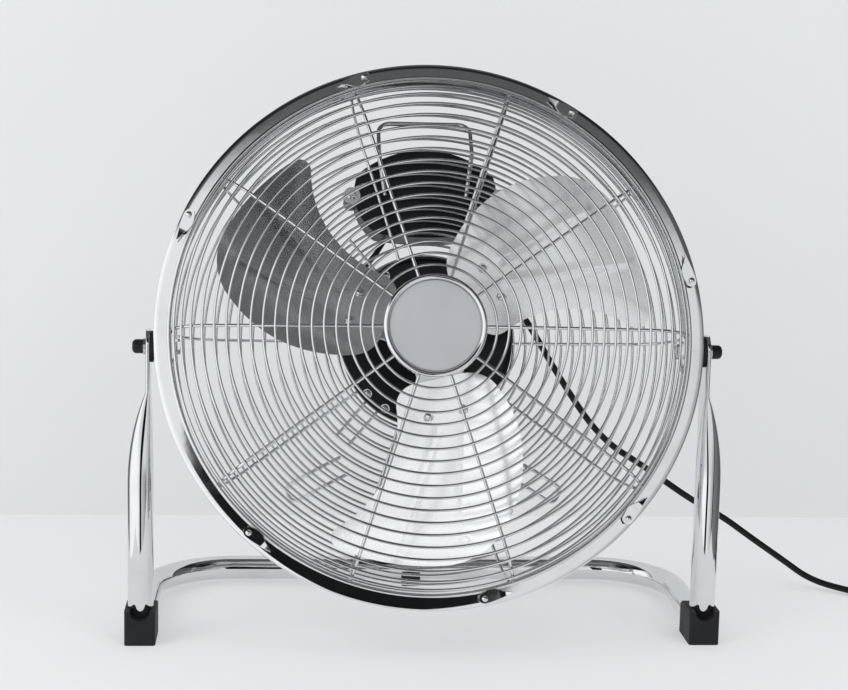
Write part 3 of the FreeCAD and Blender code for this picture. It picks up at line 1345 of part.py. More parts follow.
def write_parts():
    """Set the origin under the middle of the fan, without its cord, and write one file for each piece."""
    fan = Part.makeCompound([shape for name, shape in nodes.items() if name not in CORD_NODES])
    box = fan.optimalBoundingBox(False, False)
    shift = V(-box.Center.x, -box.Center.y, -box.ZMin)
    print("shift", [round(value, 4) for value in shift])
    pivot = V(0, 0, PIVOT_HEIGHT) + shift
    centre = head_place().multVec(ORIGIN) + shift
    print("pivot", [round(value, 4) for value in pivot])
    print("fan centre", [round(value, 4) for value in centre])
    os.makedirs("parts", exist_ok=True)
    for name, shape in nodes.items():
        moved = shape.translated(shift)
        if not moved.isValid():
            print("not valid:", name)
        moved.exportStep("parts/%s.step" % name)
    print(len(nodes), "nodes; box", round(box.XLength, 1), round(box.YLength, 1), round(box.ZLength, 1))


build_stand()
build_cage()
build_motor()
build_controls()
build_cord()
write_parts()
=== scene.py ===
"""Looks of the chrome floor fan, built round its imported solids."""
import json
import math

import bmesh
import bpy
import numpy as np
from mathutils import Matrix, Vector


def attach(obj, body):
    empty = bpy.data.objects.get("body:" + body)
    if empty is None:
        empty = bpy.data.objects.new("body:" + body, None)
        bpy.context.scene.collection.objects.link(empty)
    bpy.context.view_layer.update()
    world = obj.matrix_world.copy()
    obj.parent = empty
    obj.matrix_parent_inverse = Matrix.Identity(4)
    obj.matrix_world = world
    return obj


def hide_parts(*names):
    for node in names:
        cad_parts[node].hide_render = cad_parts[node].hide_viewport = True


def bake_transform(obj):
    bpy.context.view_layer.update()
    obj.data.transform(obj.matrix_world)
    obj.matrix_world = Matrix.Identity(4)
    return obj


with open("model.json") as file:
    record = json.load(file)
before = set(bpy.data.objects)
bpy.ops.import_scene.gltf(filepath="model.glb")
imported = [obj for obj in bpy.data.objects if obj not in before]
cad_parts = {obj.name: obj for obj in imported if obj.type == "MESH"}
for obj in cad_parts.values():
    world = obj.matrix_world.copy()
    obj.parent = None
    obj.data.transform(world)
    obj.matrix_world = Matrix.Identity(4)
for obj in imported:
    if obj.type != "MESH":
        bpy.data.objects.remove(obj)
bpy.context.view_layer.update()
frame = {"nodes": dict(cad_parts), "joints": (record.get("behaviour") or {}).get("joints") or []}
nodes = frame["nodes"]


# The stand: one length of steel tube, bent into a loop that lies on the floor and stands up at both
# ends. There it is pressed flat, rounded off and bored for the pivot bolts. It is chromed all over.

class Strand:
    """One socket of a node tree, so that sums over a surface are written as sums."""

    def __init__(self, net, socket):
        self.net = net
        self.socket = socket

    def out(self, name):
        """Another output of the same node."""
        return Strand(self.net, self.socket.node.outputs[name])

    def math(self, operation, first, second=0.0):
        return self.net.add("ShaderNodeMath", {"operation": operation}, {0: first, 1: second})

    def __add__(self, other):
        return self.math("ADD", self, other)

    __radd__ = __add__

    def __sub__(self, other):
        return self.math("SUBTRACT", self, other)

    def __rsub__(self, other):
        return self.math("SUBTRACT", other, self)

    def __mul__(self, other):
        return self.math("MULTIPLY", self, other)

    __rmul__ = __mul__

    def __truediv__(self, other):
        return self.math("DIVIDE", self, other)

    def __rtruediv__(self, other):
        return self.math("DIVIDE", other, self)

    def __gt__(self, other):
        return self.math("GREATER_THAN", self, other)

    def __lt__(self, other):
        return self.math("LESS_THAN", self, other)

    def of(self, operation):
        """A function of this strand alone, such as SINE or FLOOR."""
        return self.math(operation, self)

    def ramp(self, low, high):
        """0 below `low`, 1 above `high`, straight between."""
        return self.net.add("ShaderNodeMapRange", {}, {0: self, 1: low, 2: high, 3: 0.0, 4: 1.0})


class Net:
    """A node tree that is filled by one method."""

    def __init__(self, tree):
        self.tree = tree

    def node(self, kind, settings=None, sockets=None):
        node = self.tree.nodes.new(kind)
        for key, value in (settings or {}).items():
            if key == "stops":
                while len(node.color_ramp.elements) < len(value):
                    node.color_ramp.elements.new(0.5)
                for element, (position, colour) in zip(node.color_ramp.elements, value):
                    element.position = position
                    element.color = (*colour, 1)
            else:
                setattr(node, key, value)
        for key, value in (sockets or {}).items():
            strands = value if isinstance(value, list) else [value]
            for strand in strands:
                if isinstance(strand, Strand):
                    self.tree.links.new(strand.socket, node.inputs[key])
                else:
                    node.inputs[key].default_value = strand
        return node

    def add(self, kind, settings=None, sockets=None, output=0):
        """A node, as the strand of one of its outputs."""
        return Strand(self, self.node(kind, settings, sockets).outputs[output])

    def colours(self, share, first, second):
        """A colour between two, by a share."""
        ends = [value if isinstance(value, Strand) else (*value, 1) for value in (first, second)]
        return self.add("ShaderNodeMix", {"data_type": "RGBA"}, {0: share, 6: ends[0], 7: ends[1]}, 2)


class Finish(Net):
    """A material: its patterns, and the one shader that they end in."""

    def __init__(self, name):
        self.material = bpy.data.materials.new(name)
        self.material.use_nodes = True
        super().__init__(self.material.node_tree)
        self.tree.nodes.clear()
        self.place = self.add("ShaderNodeTexCoord", output="Object")

    def noise(self, scale, detail=3.0, stretch=(1, 1, 1)):
        """Soft noise on the piece; `stretch` multiplies the scale along each axis."""
        where = self.add("ShaderNodeMapping", {}, {"Vector": self.place, "Scale": stretch})
        return self.add("ShaderNodeTexNoise", {}, {"Vector": where, "Scale": scale, "Detail": detail})

    def bump(self, height, strength, distance):
        return self.add("ShaderNodeBump", {}, {"Height": height, "Strength": strength, "Distance": distance})

    def surface(self, **sockets):
        """Ends the material; socket names are written with _ for spaces."""
        named = {key.replace("_", " "): value for key, value in sockets.items()}
        shader = self.add("ShaderNodeBsdfPrincipled", {}, named)
        self.node("ShaderNodeOutputMaterial", {}, {"Surface": shader})
        return self.material


def plated(name, tint, haze, ripple):
    """Mirror plating with wiped haze, fine dust and a faint ripple of the steel under it."""
    chrome = Finish(name)
    wipe = chrome.noise(26.0, 5.0).ramp(0.48, 0.72)
    dust = chrome.noise(1400.0, 2.0).ramp(0.66, 0.78)
    dull = tuple(part * 0.86 for part in tint)
    return chrome.surface(
        Base_Color=chrome.colours(wipe * 0.5 + dust * 0.4, tint, dull),
        Metallic=1.0,
        Roughness=haze + wipe * 0.04 + dust * 0.08,
        Normal=chrome.bump(chrome.noise(60.0, 2.0), ripple, 0.0006),
    )


def skin(name, rows, looped=False, capped=False):
    """A mesh over rows of points. Each row is a closed loop; `looped` joins the last row to the first."""
    count = len(rows[0])
    points = [tuple(point) for row in rows for point in row]
    faces = []
    for k in range(len(rows) if looped else len(rows) - 1):
        here = k * count
        ahead = (k + 1) % len(rows) * count
        for j in range(count):
            on = (j + 1) % count
            faces.append((here + j, here + on, ahead + on, ahead + j))
    if capped:
        faces.append(tuple(range(count)))
        faces.append(tuple(reversed(range(len(points) - count, len(points)))))
    mesh = bpy.data.meshes.new(name)
    mesh.from_pydata(points, [], faces)
    return mesh


def tidy(mesh, sharp=40):
    """Merges doubles, turns faces outwards, and shades smooth up to an angle."""
    work = bmesh.new()
    work.from_mesh(mesh)
    bmesh.ops.remove_doubles(work, verts=work.verts, dist=1e-6)
    bmesh.ops.recalc_face_normals(work, faces=work.faces)
    work.to_mesh(mesh)
    work.free()
    mesh.shade_smooth()
    mesh.set_sharp_from_angle(angle=math.radians(sharp))
    return mesh


def placed(name, data):
    """A new object in the scene."""
    item = bpy.data.objects.new(name, data)
    bpy.context.scene.collection.objects.link(item)
    return item


def piece(name, mesh, material, body, slot, *stands_for):
    """Puts a finished mesh on a body of the fan, in place of its plain solids."""
    item = placed(name, mesh)
    mesh.materials.clear()
    mesh.materials.append(material)
    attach(item, body)
    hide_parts(*stands_for)
    return item


pivot = Vector(next(j["pos_m"] for j in frame["joints"] if j["name"] == "head_tilt"))
tube_radius = 0.0125
upright_x = 0.2775
rear_bar_y = 0.207
tube_height = 0.016
foot_bend = 0.032
rear_bend = 0.085
flat_bottom = 0.250
press_length = 0.100
flat_half_thickness = 0.0023
flat_half_width = 0.017
flat_inside = 0.2673
flat_middle = flat_inside + flat_half_thickness
press_squareness = 2.6
press_ease = 2.3
tube_sides = 48
cap_steps = 12
flat_steps = 6
press_steps = 40
straight_steps = 6
foot_steps = 16
rear_steps = 24
bar_steps = 5


def pressed_row(height, flat, width_share=1.0):
    """The tube's outline at a height on the right upright, round (0) to pressed flat (1)."""
    thick = tube_radius + flat * (flat_half_thickness - tube_radius)
    wide = (tube_radius + flat * (flat_half_width - tube_radius)) * width_share
    power = 2 / (2 + press_squareness * flat)
    middle = upright_x + flat * (flat_middle - upright_x)
    row = []
    for k in range(tube_sides):
        turn = 2 * math.pi * k / tube_sides
        c, s = math.cos(turn), math.sin(turn)
        x = math.copysign(abs(c) ** power, c) * thick
        y = math.copysign(abs(s) ** power, s) * wide
        row.append(Vector((middle + x, y, height)))
    return row


def tube_row(centre, out, side):
    """A round section of the tube in the plane of two directions."""
    turns = [2 * math.pi * k / tube_sides for k in range(tube_sides)]
    return [centre + tube_radius * (math.cos(t) * out + math.sin(t) * side) for t in turns]


def stand_rows():
    """Sections of the right half of the stand, from the flat end down, round and back to the middle."""
    x_axis, y_axis, z_axis = Vector((1, 0, 0)), Vector((0, 1, 0)), Vector((0, 0, 1))
    rows = []
    for k in range(1, cap_steps):
        lift = math.pi / 2 * (1 - k / cap_steps)
        rows.append(pressed_row(pivot.z + flat_half_width * math.sin(lift), 1.0, math.cos(lift)))
    for k in range(flat_steps):
        rows.append(pressed_row(pivot.z + (flat_bottom - pivot.z) * k / flat_steps, 1.0))
    for k in range(press_steps + 1):
        share = 1 - k / press_steps
        rows.append(pressed_row(flat_bottom - press_length * (1 - share), share ** press_ease))
    bend_top = tube_height + foot_bend
    bend_back = rear_bar_y - rear_bend
    for k in range(1, straight_steps + 1):
        z = flat_bottom - press_length
        rows.append(tube_row(Vector((upright_x, 0, z + (bend_top - z) * k / straight_steps)), x_axis, y_axis))
    for k in range(1, foot_steps + 1):
        turn = math.pi / 2 * k / foot_steps
        side = Vector((0, math.cos(turn), math.sin(turn)))
        rows.append(tube_row(Vector((upright_x, foot_bend, bend_top)) - foot_bend * side, x_axis, side))
    for k in range(1, straight_steps + 1):
        y = foot_bend + (bend_back - foot_bend) * k / straight_steps
        rows.append(tube_row(Vector((upright_x, y, tube_height)), x_axis, z_axis))
    for k in range(1, rear_steps + 1):
        turn = math.pi / 2 * k / rear_steps
        out = Vector((math.cos(turn), math.sin(turn), 0))
        middle = Vector((upright_x - rear_bend, bend_back, tube_height))
        rows.append(tube_row(middle + rear_bend * out, out, z_axis))
    for k in range(1, bar_steps + 1):
        x = (upright_x - rear_bend) * (1 - k / bar_steps)
        rows.append(tube_row(Vector((x, rear_bar_y, tube_height)), y_axis, z_axis))
    return rows


right_rows = stand_rows()
left_rows = [[Vector((-p.x, p.y, p.z)) for p in row] for row in reversed(right_rows[:-1])]
stand_mesh = skin("stand_tube_chromed", right_rows + left_rows, capped=True)
stand_mesh.transform(Matrix.Translation((0, pivot.y, 0)))
tube_chrome = plated("tube chrome", (0.76, 0.765, 0.775), 0.045, 0.05)
piece("stand_tube_chromed", tidy(stand_mesh), tube_chrome, "stand", "chrome", "stand_tube")


# The rim: a hoop rolled from steel strip, with a flange turned in at the front and the back for the
# two grilles to lie on. It is chromed, and carries the pivots on its sides.

lean = math.radians(17)
ring_lift = 0.014
head = Matrix.Translation(pivot) @ Matrix.Rotation(-lean, 4, "X") @ Matrix.Translation((0, 0, ring_lift))
rim_radius = 0.2645
rim_half = 0.016
rim_sheet = 0.0018
rim_flange = 0.0165
rim_lip = rim_radius - rim_flange
rim_edge_width = 0.005
rim_edge_depth = 0.0014
rim_edge_steps = 16
rim_inner_bend = 0.002


def arc(centre, radius, first, last, steps=8):
    """Points of an arc in a side view of (radius, y)."""
    turns = [math.radians(first + (last - first) * k / steps) for k in range(steps + 1)]
    return [(centre[0] + radius * math.cos(t), centre[1] + radius * math.sin(t)) for t in turns]


def turned_piece(name, profile, material, node, steps=256):
    """A bright piece of the head: a closed side view of (radius, y) points, turned about the fan axis."""
    rows = []
    for k in range(steps):
        turn = 2 * math.pi * k / steps
        rows.append([(r * math.cos(turn), y, r * math.sin(turn)) for r, y in profile])
    mesh = skin(name, rows, looped=True)
    mesh.transform(head)
    piece(name, tidy(mesh, 50), material, "head", "chrome", node)


def rim_edge(side):
    """The soft outer edge of a flange: nearly flat, then quickly round on to the band."""
    turns = [math.pi / 2 * k / rim_edge_steps for k in range(rim_edge_steps + 1)]
    bend, height = rim_radius - rim_edge_width, rim_half - rim_edge_depth
    return [
        (bend + rim_edge_width * math.sin(t), side * (height + rim_edge_depth * math.cos(t)))
        for t in turns
    ]


lip_half = rim_sheet / 2
lip_middle = rim_lip + lip_half
lip_run = 0.0004
flat_start = lip_middle + lip_run
inner_bend = (rim_radius - rim_sheet - rim_inner_bend, rim_half - rim_sheet - rim_inner_bend)
rim_profile = (
    arc((lip_middle, -rim_half + lip_half), lip_half, 90, 270, 6)
    + [(flat_start, -rim_half)] + rim_edge(-1) + rim_edge(1)[::-1] + [(flat_start, rim_half)]
    + arc((lip_middle, rim_half - lip_half), lip_half, 90, 270, 6)
    + arc(inner_bend, rim_inner_bend, 90, 0)
    + arc((inner_bend[0], -inner_bend[1]), rim_inner_bend, 0, -90)
)
rim_chrome = plated("rim chrome", (0.78, 0.785, 0.795), 0.05, 0.04)
turned_piece("rim_hoop", rim_profile, rim_chrome, "rim_band")


# The two grilles: steel wire rings spot welded on spokes, domed and turned over at the shoulder down
# to a thick edge wire. The rear one also has four pairs of braces for the motor. Both are chromed.

edge_radius = 0.250
edge_wire = 0.004
edge_y = rim_half + edge_wire / 2
ring_wire = 0.0026
spoke_wire = 0.0032
weld_bite = 0.0004
spoke_drop = ring_wire / 2 + spoke_wire / 2 - weld_bite
spoke_count = 10
ring_points = 192
wire_sides = 10
edge_sides = 12


def side_view(inner, dome, start, shoulder):
    """The angles and centres of a grille's dome and shoulder, by the names of the tree's inputs."""
    turn_angle = math.asin(start / dome)
    shoulder_radius = start - shoulder * math.sin(turn_angle)
    edge_angle = math.asin((edge_radius - shoulder_radius) / shoulder)
    shoulder_height = -shoulder * math.cos(edge_angle)
    return {
        "Dome": dome,
        "Shoulder": shoulder,
        "Inner angle": math.asin(inner / dome),
        "Turn angle": turn_angle,
        "Edge angle": edge_angle,
        "Shoulder radius": shoulder_radius,
        "Shoulder height": shoulder_height,
        "Dome height": shoulder_height - (dome - shoulder) * math.cos(turn_angle),
    }


front_view = side_view(inner=0.047, dome=2.1, start=0.210, shoulder=0.048)
front_ring_steps = 19
rear_view = side_view(inner=0.088, dome=4.0, start=0.205, shoulder=0.049)
rear_ring_steps = 15
brace_count = 4
brace_start = -0.016
brace_end = 0.040
brace_spacing = 0.015
brace_swing = math.radians(40)


def new_tree(name, sizes, counts=()):
    """An empty Geometry Nodes tree with named inputs, and those inputs as strands."""
    tree = bpy.data.node_groups.new(name, "GeometryNodeTree")
    tree.interface.new_socket("Geometry", in_out="INPUT", socket_type="NodeSocketGeometry")
    for size in sizes:
        tree.interface.new_socket(size, in_out="INPUT", socket_type="NodeSocketFloat")
    for count in counts:
        tree.interface.new_socket(count, in_out="INPUT", socket_type="NodeSocketInt")
    tree.interface.new_socket("Coat", in_out="INPUT", socket_type="NodeSocketMaterial")
    tree.interface.new_socket("Geometry", in_out="OUTPUT", socket_type="NodeSocketGeometry")
    net = Net(tree)
    start = net.node("NodeGroupInput")
    return net, {socket.name: Strand(net, socket) for socket in start.outputs if socket.name}


def close_tree(net, shape, coat):
    """Ends a tree in plain, smooth, coated mesh."""
    real = net.add("GeometryNodeRealizeInstances", {}, {0: shape})
    smooth = net.add("GeometryNodeSetShadeSmooth", {}, {0: real})
    coated = net.add("GeometryNodeSetMaterial", {}, {"Geometry": smooth, "Material": coat})
    net.node("NodeGroupOutput", {}, {0: coated})
    return net.tree


def grown(name, tree, values, start=None):
    """The plain mesh that a tree grows, with the values of its inputs, from a start mesh if there is one."""
    seed = placed(name + "_seed", start or bpy.data.meshes.new(name + "_seed"))
    modifier = seed.modifiers.new("grow", "NODES")
    modifier.node_group = tree
    for socket in tree.interface.items_tree:
        if socket.in_out == "INPUT" and socket.name in values:
            modifier[socket.identifier] = values[socket.name]
    ready = seed.evaluated_get(bpy.context.evaluated_depsgraph_get())
    mesh = bpy.data.meshes.new_from_object(ready)
    mesh.name = name
    bpy.data.objects.remove(seed)
    return mesh


def round_wire(net, curve, diameter, sides):
    """A round wire along a curve of a tree."""
    profile = net.add("GeometryNodeCurvePrimitiveCircle", {}, {"Resolution": sides, "Radius": diameter / 2})
    sockets = {"Curve": curve, "Profile Curve": profile, "Fill Caps": True}
    return net.add("GeometryNodeCurveToMesh", {}, sockets)


def turned_copies(net, shape, count, turn):
    """Copies of a curve about the Z axis, each by its own turn."""
    points = net.add("GeometryNodeMeshLine", {}, {"Count": count, "Offset": (0, 0, 0)})
    turns = net.add("ShaderNodeCombineXYZ", {}, {"Z": turn})
    sockets = {"Points": points, "Instance": shape, "Rotation": turns}
    copies = net.add("GeometryNodeInstanceOnPoints", {}, sockets)
    return net.add("GeometryNodeRealizeInstances", {}, {0: copies})


def wire_tree():
    """Rings, spokes and braces of a grille; its front is up the tree's Z axis."""
    sizes = list(front_view)
    sizes += ["Ring wire", "Edge wire", "Edge radius", "Spoke wire", "Spoke drop", "Spoke start"]
    sizes += ["Brace start", "Brace end", "Brace spacing", "Brace swing"]
    net, size = new_tree("grille_wires", sizes, ("Ring steps", "Spokes", "Braces"))
    dome_length = size["Dome"] * (size["Turn angle"] - size["Inner angle"])
    length = dome_length + size["Shoulder"] * (size["Edge angle"] - size["Turn angle"])

    def on_dome(distance, drop):
        """Radius and height at a distance along the side view, `drop` below it."""
        past = distance > dome_length
        near = size["Inner angle"] + distance / size["Dome"]
        far = size["Turn angle"] + (distance - dome_length) / size["Shoulder"]
        near_bend = size["Dome"] - drop
        far_bend = size["Shoulder"] - drop
        reach = size["Shoulder radius"] + far_bend * far.of("SINE")
        radius = (1 - past) * (near_bend * near.of("SINE")) + past * reach
        high = size["Dome height"] + near_bend * near.of("COSINE")
        low = size["Shoulder height"] + far_bend * far.of("COSINE")
        return radius, (1 - past) * high + past * low

    def dome_line(first, last, side, count):
        """A curve up the dome, `side` off the plane of the axis."""
        straight = net.add("GeometryNodeCurvePrimitiveLine", {}, {"Start": (0, 0, 0), "End": (1, 0, 0)})
        straight = net.add("GeometryNodeResampleCurve", {}, {"Curve": straight, "Count": count})
        along = net.add("GeometryNodeSplineParameter", output="Factor")
        reach, rise = on_dome(first + along * (last - first), size["Spoke drop"])
        place = net.add("ShaderNodeCombineXYZ", {}, {"X": reach, "Y": side, "Z": rise})
        return net.add("GeometryNodeSetPosition", {}, {"Geometry": straight, "Position": place})

    index = net.add("GeometryNodeInputIndex")
    loop = net.add("GeometryNodeCurvePrimitiveCircle", {}, {"Resolution": ring_points, "Radius": 1.0})
    steps = net.add("GeometryNodeMeshLine", {}, {"Count": size["Ring steps"], "Offset": (0, 0, 0)})
    radius, height = on_dome(index * (length / size["Ring steps"]), 0.0)
    lift = net.add("ShaderNodeCombineXYZ", {}, {"Z": height})
    lifted = net.add("GeometryNodeSetPosition", {}, {"Geometry": steps, "Position": lift})
    spread = net.add("ShaderNodeCombineXYZ", {}, {"X": radius, "Y": radius, "Z": 1.0})
    rings = net.add("GeometryNodeInstanceOnPoints", {}, {"Points": lifted, "Instance": loop, "Scale": spread})
    rings = net.add("GeometryNodeRealizeInstances", {}, {0: rings})
    rings = round_wire(net, rings, size["Ring wire"], wire_sides)

    edge_sockets = {"Resolution": ring_points, "Radius": size["Edge radius"]}
    last = net.add("GeometryNodeCurvePrimitiveCircle", {}, edge_sockets)
    last = round_wire(net, last, size["Edge wire"], edge_sides)

    spoke_points, brace_points = 56, 8
    spoke = dome_line(size["Spoke start"], length, 0.0, spoke_points)
    spokes = turned_copies(net, spoke, size["Spokes"], index * (2 * math.pi / size["Spokes"]))
    spokes = round_wire(net, spokes, size["Spoke wire"], wire_sides)

    half = size["Brace spacing"] / 2
    reach = size["Brace start"], size["Brace end"]
    pair = [dome_line(*reach, side, brace_points) for side in (half, 0 - half)]
    pair = net.add("GeometryNodeJoinGeometry", {}, {0: pair})
    upper = (index / 2).of("FLOOR")
    turn = math.pi / 2 + math.pi * upper + (2 * (index - 2 * upper) - 1) * size["Brace swing"]
    braces = round_wire(net, turned_copies(net, pair, size["Braces"], turn), size["Spoke wire"], wire_sides)

    whole = net.add("GeometryNodeJoinGeometry", {}, {0: [rings, last, spokes, braces]})
    return close_tree(net, whole, size["Coat"])


grille_chrome = plated("wire chrome", (0.73, 0.735, 0.745), 0.06, 0.0)
grille_tree = wire_tree()
wires = {
    "Ring wire": ring_wire, "Edge wire": edge_wire, "Edge radius": edge_radius,
    "Spoke wire": spoke_wire, "Spoke drop": spoke_drop, "Spokes": spoke_count, "Coat": grille_chrome,
}
front_mesh = grown("front_guard_wires", grille_tree, {
    **wires, **front_view, "Ring steps": front_ring_steps, "Spoke start": 0.0,
})
front_mesh.transform(head @ Matrix.Translation((0, -edge_y, 0)) @ Matrix.Rotation(math.pi / 2, 4, "X"))
piece("front_guard_wires", front_mesh, grille_chrome, "head", "chrome", "front_grille")

rear_mesh = grown("rear_guard_wires", grille_tree, {
    **wires, **rear_view, "Ring steps": rear_ring_steps, "Spoke start": brace_start, "Braces": brace_count,
    "Brace start": brace_start, "Brace end": brace_end, "Brace spacing": brace_spacing,
    "Brace swing": brace_swing,
})
rear_mesh.transform(head @ Matrix.Translation((0, edge_y, 0)) @ Matrix.Rotation(-math.pi / 2, 4, "X"))
piece("rear_guard_wires", rear_mesh, grille_chrome, "head", "chrome", "rear_grille")


# The mains cord: black rubber, round, out of the strain relief under the control box, down behind the
# grille to the floor and away to the right, where the spare length lies coiled and tied.

cord_diameter = 0.0068
cord_exit = (0.06376, 0.10545 + pivot.y, 0.36743)
cord_way = (
    (0.077, 0.098, 0.343), (0.107, 0.114, 0.306), (0.147, 0.132, 0.240), (0.195, 0.150, 0.173),
    (0.247, 0.163, 0.140), (0.300, 0.174, 0.102), (0.337, 0.181, 0.082), (0.371, 0.186, 0.057),
    (0.410, 0.191, 0.030), (0.440, 0.186, 0.009), (0.475, 0.157, 0.0049), (0.512, 0.131, 0.0049),
)
coil_step = 0.0075
coil_layer = 0.0074
coil_turns = 2.25
coil_middle = 0.0375
coil_outer = coil_middle + coil_step * coil_turns / 2
coil_tail = 0.022
coil_points = 16
coil_pull = 1.0192


def coil_way():
    """The spline's points round the coil: in on the floor, up half a turn, and out on top."""
    last = Vector(cord_way[-1])
    way = (last - Vector(cord_way[-2])).normalized()
    left = Vector((-way.y, way.x, 0))
    centre = last + way * cord_diameter + left * coil_outer
    first = math.atan2(-left.y, -left.x)
    inner_end = 2 * math.pi * coil_turns
    end = 2 * inner_end + math.pi
    count = round(end / (2 * math.pi) * coil_points)
    points = []
    for k in range(count):
        turn = end * k / count
        radius = (coil_outer - coil_step * min(turn, end - turn) / (2 * math.pi)) * coil_pull
        climb = min(max((turn - inner_end) / math.pi, 0.0), 1.0)
        lift = coil_layer * (climb - math.sin(2 * math.pi * climb) / (2 * math.pi))
        angle = first + turn
        points.append(centre + Vector((radius * math.cos(angle), radius * math.sin(angle), lift)))
    angle = first + end
    finish = centre + Vector((coil_outer * math.cos(angle), coil_outer * math.sin(angle), coil_layer))
    points.append(finish)
    points.append(finish + Vector((-math.sin(angle), math.cos(angle), 0)) * coil_tail)
    return points


def lead(name, points, diameter, material):
    """A round lead on one smooth spline."""
    curve = bpy.data.curves.new(name, "CURVE")
    curve.dimensions = "3D"
    spline = curve.splines.new("NURBS")
    spline.points.add(len(points) - 1)
    for knot, point in zip(spline.points, points):
        knot.co = (*point, 1)
    spline.order_u = 3
    spline.use_endpoint_u = True
    spline.resolution_u = 8
    curve.bevel_depth = diameter / 2
    curve.bevel_resolution = 5
    curve.use_fill_caps = True
    curve.materials.append(material)
    return placed(name, curve)


def lead_tube(name, route):
    """A lead made a mesh, and the points of its spline."""
    def settled():
        bpy.context.view_layer.update()
        return bpy.data.meshes.new_from_object(route.evaluated_get(bpy.context.evaluated_depsgraph_get()))

    tube = settled()
    tube.name = name
    route.data.bevel_depth = 0.0
    line = settled()
    points = [tuple(point.co) for point in line.vertices]
    bpy.data.meshes.remove(line)
    bpy.data.objects.remove(route)
    return placed(name, tube), points


def soft_black(name, colour, grain, gloss):
    """Black rubber or moulded plastic: fine grain, a bloom of dust, and paler where it is rubbed."""
    rubber = Finish(name)
    bloom = rubber.noise(45.0, 5.0).ramp(0.45, 0.75)
    fine = rubber.noise(grain, 3.0)
    pale = tuple(part * 2.0 + 0.006 for part in colour)
    return rubber.surface(
        Base_Color=rubber.colours(bloom * 0.6, colour, pale),
        Roughness=gloss + bloom * 0.14 + fine * 0.08,
        Specular_IOR_Level=0.28,
        Normal=rubber.bump(fine, 0.25, 0.0003),
    )


cord_rubber = soft_black("cord rubber", (0.006, 0.006, 0.007), 2600.0, 0.48)
cord_line = [cord_exit]
cord_line += [(x, y + pivot.y, z) for x, y, z in cord_way]
cord_line += [(p.x, p.y + pivot.y, p.z) for p in coil_way()]
mains_cord, cord_path = lead_tube("mains_cord", lead("cord_route", cord_line, cord_diameter, cord_rubber))
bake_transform(mains_cord)
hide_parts("cord_run", "cord_coil")


# The motor lead: a short black rubber lead, pushed into the control box and into the side of the motor.
# It hangs between them in one bow, behind the grille.

lead_diameter = 0.0055
lead_y = 0.0788
lead_way = ((-0.0400, 0.1088), (-0.0500, 0.0900), (-0.0756, 0.0644), (-0.0703, 0.0406), (-0.0486, 0.0280))
lead_line = [tuple(head @ Vector((x, lead_y, z))) for x, z in lead_way]
motor_lead = lead("motor_lead_bow", lead_line, lead_diameter, cord_rubber)
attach(motor_lead, "head")
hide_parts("motor_lead")


# The blades: three sheets of bright rolled aluminium, twisted and dished, pressed with two stiffening
# ribs from the root outwards, and riveted on the arms of the hub. Strips, outline and ribs are shares of
# the tip radius; a strip has its radius, middle, half chord, pitch in degrees and camber.

blade_count = 3
blade_tip = 0.222
blade_root = 0.044
blade_sheet = 0.0012
blade_angle = 40
rotor_y = -0.006
blade_strips = np.array((
    (0.15, 0.0045, 0.260, 32.0, 0.0),
    (0.27, 0.0045, 0.270, 32.0, 0.0),
    (0.40, 0.0045, 0.300, 32.0, 0.0),
    (0.62, -0.0495, 0.385, 27.0, 0.0257),
    (0.83, -0.1396, 0.500, 22.5, 0.0402),
    (1.03, -0.1802, 0.550, 20.0, 0.0449),
))
blade_ribs = (((0.42, -0.040), (0.90, -0.300)), ((0.44, 0.060), (0.88, -0.010)))
rib_height = 0.0011
rib_half = 0.0045


def arc_through(a, b, c, steps=40):
    """Points on the circle through three points of a plane."""
    a, b, c = (complex(*p) for p in (a, b, c))
    w = (c - a) / (b - a)
    centre = (b - a) * (w - abs(w) ** 2) / (w - w.conjugate()) + a
    first = a - centre
    turn = [np.angle((p - centre) / first) for p in (b, c)]
    sweep = turn[1]
    if turn[0] * sweep < 0 or abs(turn[0]) > abs(sweep):
        sweep -= math.copysign(2 * math.pi, sweep)
    points = centre + first * np.exp(1j * np.linspace(0, sweep, steps + 1))
    return np.stack([points.real, points.imag], axis=1)


def evenly(points, count):
    """The same line with evenly spaced points."""
    lengths = np.concatenate([[0], np.cumsum(np.linalg.norm(np.diff(points, axis=0), axis=1))])
    share = np.linspace(0, lengths[-1], count)
    return np.stack([np.interp(share, lengths, points[:, k]) for k in (0, 1)], axis=1)


def strip_values(u):
    """Middle, half chord, pitch and camber of the sheet at a radius, smooth between the strips."""
    at = blade_strips[:, 0]
    k = np.clip(np.searchsorted(at, u) - 1, 0, len(at) - 2)
    span = at[k + 1] - at[k]
    t = (u - at[k]) / span
    values = []
    for column in range(1, 5):
        y = blade_strips[:, column]
        slope = np.gradient(y, at)
        values.append(
            y[k] * (1 + 2 * t) * (1 - t) ** 2 + y[k + 1] * t * t * (3 - 2 * t)
            + span * (slope[k] * t * (1 - t) ** 2 - slope[k + 1] * t * t * (1 - t))
        )
    return values


